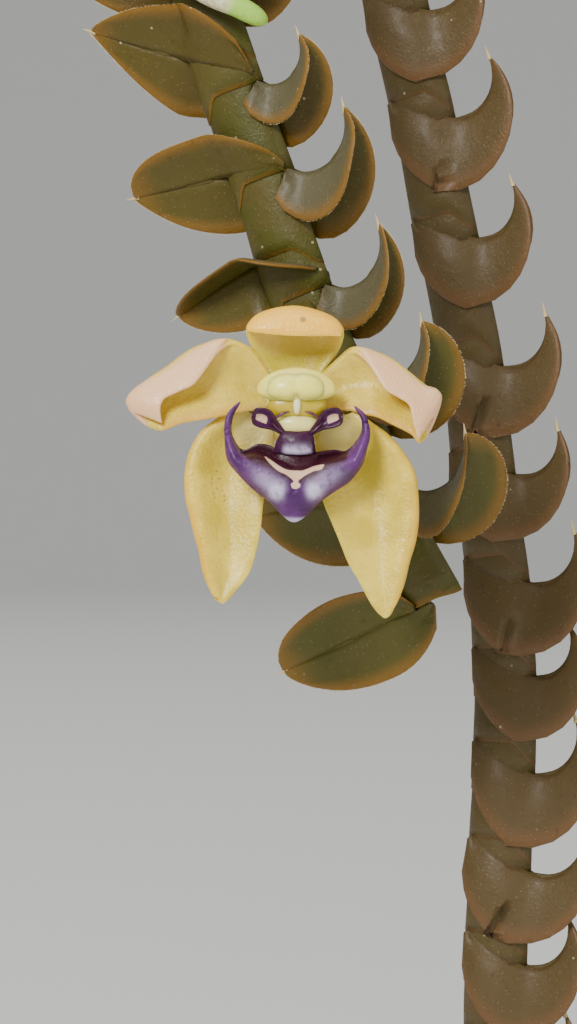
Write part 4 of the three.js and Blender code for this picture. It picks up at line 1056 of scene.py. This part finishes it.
def woodMaterial():
    # marks: position along, across and through the slat in centimetres, and the slat's own shade
    material, tree, shader = newMaterial("weatheredWood", {"Roughness": 0.72, "IOR": 1.45})
    attribute = tree.nodes.new("ShaderNodeAttribute")
    attribute.attribute_name = "marks"
    spot = attribute.outputs["Color"]
    shade = attribute.outputs["Alpha"]
    grain = noiseOf(tree, spot, 4.2, 6, 0.62, (0.16, 3.2, 3.2))
    streaks = noiseOf(tree, spot, 9.0, 5, 0.7, (0.09, 5.5, 5.5))
    broad = noiseOf(tree, spot, 0.9, 3)
    body = coloured(tree, stepped(tree, grain, 0.32, 0.68), (0.300, 0.175, 0.090), (0.120, 0.066, 0.034))
    body = coloured(tree, stepped(tree, streaks, 0.58, 0.72, 0, 0.75), body, (0.060, 0.034, 0.020))
    weather = stepped(tree, shade, 0.0, 1.0, 0.25, 0.9)
    weather = counted(tree, "MULTIPLY", stepped(tree, broad, 0.42, 0.7), weather)
    body = coloured(tree, weather, body, (0.270, 0.235, 0.190))
    damp = stepped(tree, noiseOf(tree, place(tree), 55, 4), 0.56, 0.7, 0, 0.55)
    body = coloured(tree, damp, body, (0.075, 0.080, 0.035))
    tree.links.new(body, shader.inputs["Base Color"])
    tree.links.new(stepped(tree, grain, 0.3, 0.7, 0.6, 0.85), shader.inputs["Roughness"])
    first = bumped(tree, shader, streaks, 0.0003, 0.7)
    bumped(tree, shader, grain, 0.0005, 0.6, first)
    return material


def addSlat(name, tier, offset, alongX, material):
    dice = random.Random(name)
    half = np.array([slat["width"] / 2, slat["height"] / 2]) - slat["bevel"]
    section = []
    for quarter in range(4):
        corner = half * np.array([(1, -1, -1, 1)[quarter], (1, 1, -1, -1)[quarter]])
        for turn in np.radians(np.linspace(0, 90, 5)) + quarter * math.pi / 2:
            section.append(corner + slat["bevel"] * np.array([math.cos(turn), math.sin(turn)]))
    section = np.array(section)
    ends = slat["length"] / 2
    body = np.linspace(-ends + 1.2, ends - 1.2, 26)
    stations = np.concatenate([[-ends, -ends, -ends + 0.35], body, [ends - 0.35, ends, ends]])
    shrink = np.concatenate([[0.001, 0.86, 0.96], np.ones(26), [0.96, 0.86, 0.001]])
    wobble = [dice.uniform(0, 6) for _ in range(4)]
    wide = 1 - slat["unevenness"][0] * (1 + np.sin(stations * 0.11 + wobble[0]))
    high = 1 - slat["unevenness"][1] * (1 + np.sin(stations * 0.09 + wobble[1]))
    local = np.zeros((len(stations), len(section), 3))
    local[..., 0] = stations[:, None]
    local[..., 1] = section[None, :, 0] * (shrink * wide)[:, None]
    local[..., 2] = section[None, :, 1] * (shrink * high)[:, None]
    marks = np.zeros(local.shape[:2] + (4,))
    marks[..., :3] = local / 10 + np.array([dice.uniform(0, 40) for _ in range(3)])
    marks[..., 3] = dice.uniform(0, 1)
    grid = local if alongX else local[..., [1, 0, 2]]
    height = tier * tierPitch + slat["height"] / 2
    grid = grid + ((0, offset, height) if alongX else (offset, 0, height))
    pile = newPile()
    addGrid(pile, grid, marks, ring=True)
    piece = pileObject(name.replace("_", " ").title().replace(" ", "") + "Wood", pile, material)
    putOn(piece, "wood", name)


def addSlats():
    material = woodMaterial()
    for tier in range(tierCount):
        alongX = tier % 2 == 1
        sides = ("front", "back") if alongX else ("left", "right")
        for side, sign in zip(sides, (-1, 1)):
            addSlat(f"slat_{side}_{tier + 1}", tier, sign * slatCentre, alongX, material)
    for row in (-1, 0, 1):
        addSlat(f"floor_slat_{row + 2}", 1, row * floorSlatSpacing, True, material)


pin = {"radius": 1, "eyeRadius": 3.2, "neck": 1.6, "foot": 5}
stay = {"radius": 0.8, "lowLoop": 2.3, "highLoop": 2.7}
hook = {"wireRadius": 1.3, "insideRadius": 10, "ringRadius": 7, "shankEnd": -38}


def steelMaterial():
    material, tree, shader = newMaterial("zincWire", {
        "Base Color": (0.56, 0.57, 0.57, 1), "Metallic": 1.0, "Roughness": 0.38,
    })
    spot = place(tree)
    patches = noiseOf(tree, spot, 120, 4)
    tree.links.new(coloured(tree, stepped(tree, patches, 0.4, 0.65), (0.60, 0.61, 0.61), (0.42, 0.42, 0.41)),
                   shader.inputs["Base Color"])
    tree.links.new(stepped(tree, patches, 0.35, 0.7, 0.28, 0.5), shader.inputs["Roughness"])
    bumped(tree, shader, noiseOf(tree, spot, 900, 3), 0.00005, 0.4)
    return material


def roundEnds(path, radius, sides=14):
    # a tube with domed ends
    along = np.linalg.norm(path[1] - path[0])
    radii = np.full(len(path), float(radius))
    head = path[0] + (path[0] - path[1]) / along * radius * np.array([[0.95], [0.6]])
    tail = path[-1] + unit(path[-1] - path[-2]) * radius * np.array([[0.6], [0.95]])
    path = np.concatenate([head, path, tail])
    radii = np.concatenate([[radius * 0.05, radius * 0.75], radii, [radius * 0.75, radius * 0.05]])
    return tubeGrid(path, radii, sides)


def addWire(name, points, radius, material, node, count=160):
    path, _ = smoothPath(points, count)
    ends = radius * 0.95
    run = np.linspace(0, 1, count)
    length = np.linalg.norm(np.diff(path, axis=0), axis=1).sum()
    kept = path[(run * length > ends) & ((1 - run) * length > ends)]
    pile = newPile()
    addGrid(pile, roundEnds(kept, radius), (0, 0, 0, 0), ring=True)
    putOn(pileObject(name, pile, material), "steel", node)


def pinPath(signX, signY):
    corner = np.array([signX * slatCentre, signY * slatCentre, 0.0])
    across = unit(np.array([-signY, signX, 0.0]))
    low = -pin["radius"] - 0.3
    places = [(pin["foot"], low), (0.9, low), (0, 0.6), (0, rimHeight / 2), (0, rimHeight + 0.8)]
    eyeHeight = rimHeight + pin["neck"] + pin["eyeRadius"]
    for angle in np.radians(range(-70, 201, 15)):
        places.append((pin["eyeRadius"] * math.cos(angle), eyeHeight + pin["eyeRadius"] * math.sin(angle)))
    return [corner + across * sideways + (0, 0, height) for sideways, height in places]


def stayPath(signX, signY, ringDegrees):
    ringCentre = np.array([0, 0, hook["shankEnd"] - hook["ringRadius"] + hangDrop])
    angle = math.radians(ringDegrees)
    onRing = ringCentre + hook["ringRadius"] * np.array([math.cos(angle), 0, math.sin(angle)])
    eyeHeight = rimHeight + pin["neck"] + 2 * pin["eyeRadius"]
    eyeTop = np.array([signX * slatCentre, signY * slatCentre, eyeHeight])
    up = unit(onRing - eyeTop)

    def loopAt(centre, radius, direction, normal):
        sideways = unit(np.cross(direction, normal))
        turns = np.radians(np.arange(90, 361, 15))
        return [centre + sideways * radius * math.cos(a) + direction * radius * math.sin(a) for a in turns]

    low = loopAt(eyeTop, stay["lowLoop"], up, unit(np.cross(up, unit(np.array([-signX, -signY, 0.0])))))
    tangent = np.array([-math.sin(angle), 0, math.cos(angle)])
    high = loopAt(onRing, stay["highLoop"], -up, unit(tangent + up * (tangent @ -up)))
    return low + high[::-1]


def addHanger():
    material = steelMaterial()
    corners = (("front_left", -1, -1, 228), ("back_left", -1, 1, 256), ("back_right", 1, 1, 284),
               ("front_right", 1, -1, 312))
    for spot, signX, signY, ringDegrees in corners:
        plain = spot.title().replace("_", "")
        addWire("cornerPin" + plain, pinPath(signX, signY), pin["radius"], material, f"corner_pin_{spot}")
        route = stayPath(signX, signY, ringDegrees)
        addWire("hangerWire" + plain, route, stay["radius"], material, f"hanger_wire_{spot}")
    crown = hook["insideRadius"] + hook["wireRadius"]
    points = [(crown * math.cos(a), 0, hangDrop + crown * math.sin(a) - hook["insideRadius"])
              for a in np.radians(np.linspace(205, -40, 21))]
    points += [(1.6, 0, hangDrop - 26), (0, 0, hangDrop - 31), (0, 0, hangDrop + hook["shankEnd"])]
    path, _ = smoothPath(points, 200)
    pile = newPile()
    addGrid(pile, roundEnds(path, hook["wireRadius"], 18), (0, 0, 0, 0), ring=True)
    turns = np.linspace(0, 2 * math.pi, 97)
    middle = hangDrop + hook["shankEnd"] - hook["ringRadius"]
    ring = np.stack([np.sin(turns), 0 * turns, np.cos(turns)], -1) * hook["ringRadius"] + (0, 0, middle)
    addGrid(pile, tubeGrid(ring, hook["wireRadius"], 18), (0, 0, 0, 0), ring=True)
    putOn(pileObject("hookWire", pile, material), "steel", "hook")


moss = {"halfWidth": 40.4, "mound": 7, "squareness": 0.42, "strands": 5200, "strandReach": 43.5}


def mossMaterial():
    # marks: red tells old brown from fresh strands, green is height along a strand
    material, tree, shader = newMaterial("moss", {"Roughness": 0.9, "IOR": 1.35})
    spot = place(tree)
    age, height, _, _ = marksOf(tree)
    broad = noiseOf(tree, spot, 70, 4)
    fine = noiseOf(tree, spot, 900, 4, 0.65)
    body = coloured(tree, stepped(tree, broad, 0.38, 0.66), (0.230, 0.165, 0.070), (0.110, 0.125, 0.030))
    body = coloured(tree, stepped(tree, age, 0.3, 0.9), body, (0.330, 0.270, 0.140))
    body = coloured(tree, stepped(tree, fine, 0.5, 0.75, 0, 0.6), body, (0.060, 0.045, 0.020))
    body = coloured(tree, stepped(tree, height, 0.5, 1.0, 0, 0.4), body, (0.300, 0.290, 0.110))
    tree.links.new(body, shader.inputs["Base Color"])
    bumped(tree, shader, fine, 0.0006, 0.8)
    return material


def mossSkin(x, y, z):
    # x, y, z on a unit ball become a point on the squarish mound and the way out from it
    bottom = floorTop + 0.4
    middle = (bottom + rimHeight) / 2
    sx, sy, sz = (np.sign(value) * np.abs(value) ** moss["squareness"] for value in (x, y, np.abs(z)))
    mound = moss["mound"] * (1 - 0.5 * (sx * sx + sy * sy))
    height = np.where(z < 0, bottom - middle, rimHeight - middle + mound)
    reach = moss["halfWidth"] - 1.6
    return np.stack([sx * reach, sy * reach, middle + height * sz], -1)


def addMoss():
    dice = random.Random("moss")
    theta = np.linspace(0.001, math.pi - 0.001, 90)[:, None]
    phi = np.linspace(0, 2 * math.pi, 180, endpoint=False)[None]
    x, y, z = np.sin(theta) * np.cos(phi), np.sin(theta) * np.sin(phi), np.cos(theta) * np.ones_like(phi)
    skin = mossSkin(x, y, z)
    away = unit(np.stack([x, y, 0.8 * z], -1))
    for i in range(skin.shape[0]):
        for j in range(skin.shape[1]):
            rough = noise.noise(Vector(skin[i, j] * 0.16)) * 0.9 + noise.noise(Vector(skin[i, j] * 0.5)) * 0.5
            skin[i, j] += away[i, j] * (rough - 0.2)
    pile = newPile()
    addGrid(pile, skin, (0.1, 0.1, 0, 0), ring=True)
    for _ in range(moss["strands"]):
        turn, low = dice.uniform(0, 2 * math.pi), dice.uniform(-0.75, 1)
        flat = math.sqrt(1 - low * low)
        root = mossSkin(*(np.array(v) for v in (flat * math.cos(turn), flat * math.sin(turn), low)))
        out = unit(np.array([flat * math.cos(turn), flat * math.sin(turn), 0.8 * low + 0.3]))
        drift = unit(np.array([dice.gauss(0, 1) for _ in range(3)]))
        drift = unit(drift - out * (drift @ out))
        size = dice.uniform(2.0, 5.5)
        lift = dice.uniform(0.2, 0.5)
        share = np.linspace(0, 1, 5)[:, None]
        path = root - out * 0.6 + out * lift * size * np.sin(share * 2.4) + drift * size * share
        path[:, :2] = np.clip(path[:, :2], -moss["strandReach"], moss["strandReach"])
        grid = tubeGrid(path, np.array([0.16, 0.24, 0.22, 0.18, 0.05]) * dice.uniform(0.7, 1.3), 3)
        marks = np.zeros((5, 3, 4))
        marks[..., 0] = dice.uniform(0, 1)
        marks[..., 1] = share
        addGrid(pile, grid, marks, ring=True)
    putOn(pileObject("mossFilling", pile, mossMaterial()), "moss", "moss")


addSlats()
addHanger()
addMoss()
print("basket, hanger and moss made")

# Camera, light and floor

view = {"centre": (0.0, -67.0), "distance": 200.0, "seenHeight": 71.1, "sensor": 36.0}


def addCamera():
    data = bpy.data.cameras.new("viewCamera")
    data.sensor_width = view["sensor"]
    data.lens = view["sensor"] * view["distance"] / view["seenHeight"]
    data.clip_start = 0.005
    camera = bpy.data.objects.new("viewCamera", data)
    camera.location = toFrame((view["centre"][0], flowerSpot[1] - view["distance"], view["centre"][1]))
    camera.rotation_euler = (math.radians(90), 0, 0)
    bpy.context.scene.collection.objects.link(camera)
    bpy.context.scene.camera = camera


lamps = {
    "keyLamp": {"spot": (-130, -330, 90), "aim": (0, -80, -62), "size": 0.1, "power": 1.3},
    "fillLamp": {"spot": (230, -260, -60), "aim": (0, -80, -62), "size": 0.25, "power": 0.3},
    "skyLamp": {"spot": (-500, -600, 3400), "aim": (0, 0, 0), "size": 3.0, "power": 90.0},
}


def addLamps():
    for name, settings in lamps.items():
        data = bpy.data.lights.new(name, "AREA")
        data.size = settings["size"]
        data.energy = settings["power"]
        lamp = bpy.data.objects.new(name, data)
        spot = Vector(toFrame(settings["spot"]))
        aim = Vector(toFrame(settings["aim"]))
        lamp.location = spot
        lamp.rotation_euler = (aim - spot).to_track_quat("-Z", "Y").to_euler()
        bpy.context.scene.collection.objects.link(lamp)
    world = bpy.data.worlds.new("studio")
    world.use_nodes = True
    world.node_tree.nodes["Background"].inputs["Color"].default_value = (0.78, 0.78, 0.77, 1)
    world.node_tree.nodes["Background"].inputs["Strength"].default_value = 0.55
    bpy.context.scene.world = world


# metres: the flat stretch's radius, the round of its edge, the wall's height and the drop below the part
floorShape = {"flat": 4.0, "round": 2.0, "wall": 5.0, "below": 0.06}


def addFloor():
    # one pale sweep: flat under the part, then curving up all round it
    material, _, _ = newMaterial("paleFloor", {"Base Color": (0.80, 0.80, 0.785, 1), "Roughness": 0.85})
    sides = 64
    low = cadBox[0].z - floorShape["below"]
    flat, curve = floorShape["flat"], floorShape["round"]
    turn = np.linspace(0.15, math.pi / 2, 10)
    profile = [(0.01, 0), (flat, 0), *((flat + curve * math.sin(a), curve - curve * math.cos(a)) for a in turn)]
    profile.append((flat + curve, floorShape["wall"]))
    points = [(r * math.cos(a), r * math.sin(a), low + z) for r, z in profile
              for a in np.linspace(0, 2 * math.pi, sides, endpoint=False)]
    quads = []
    for i in range(len(profile) - 1):
        for j in range(sides):
            k = (j + 1) % sides
            quads.append((i * sides + j, i * sides + k, (i + 1) * sides + k, (i + 1) * sides + j))
    mesh = bpy.data.meshes.new("floor")
    mesh.from_pydata(points, [], quads)
    mesh.polygons.foreach_set("use_smooth", [True] * len(quads))
    mesh.materials.append(material)
    floor = bpy.data.objects.new("floor", mesh)
    bpy.context.scene.collection.objects.link(floor)


addCamera()
addLamps()
addFloor()
print("camera, light and floor placed")
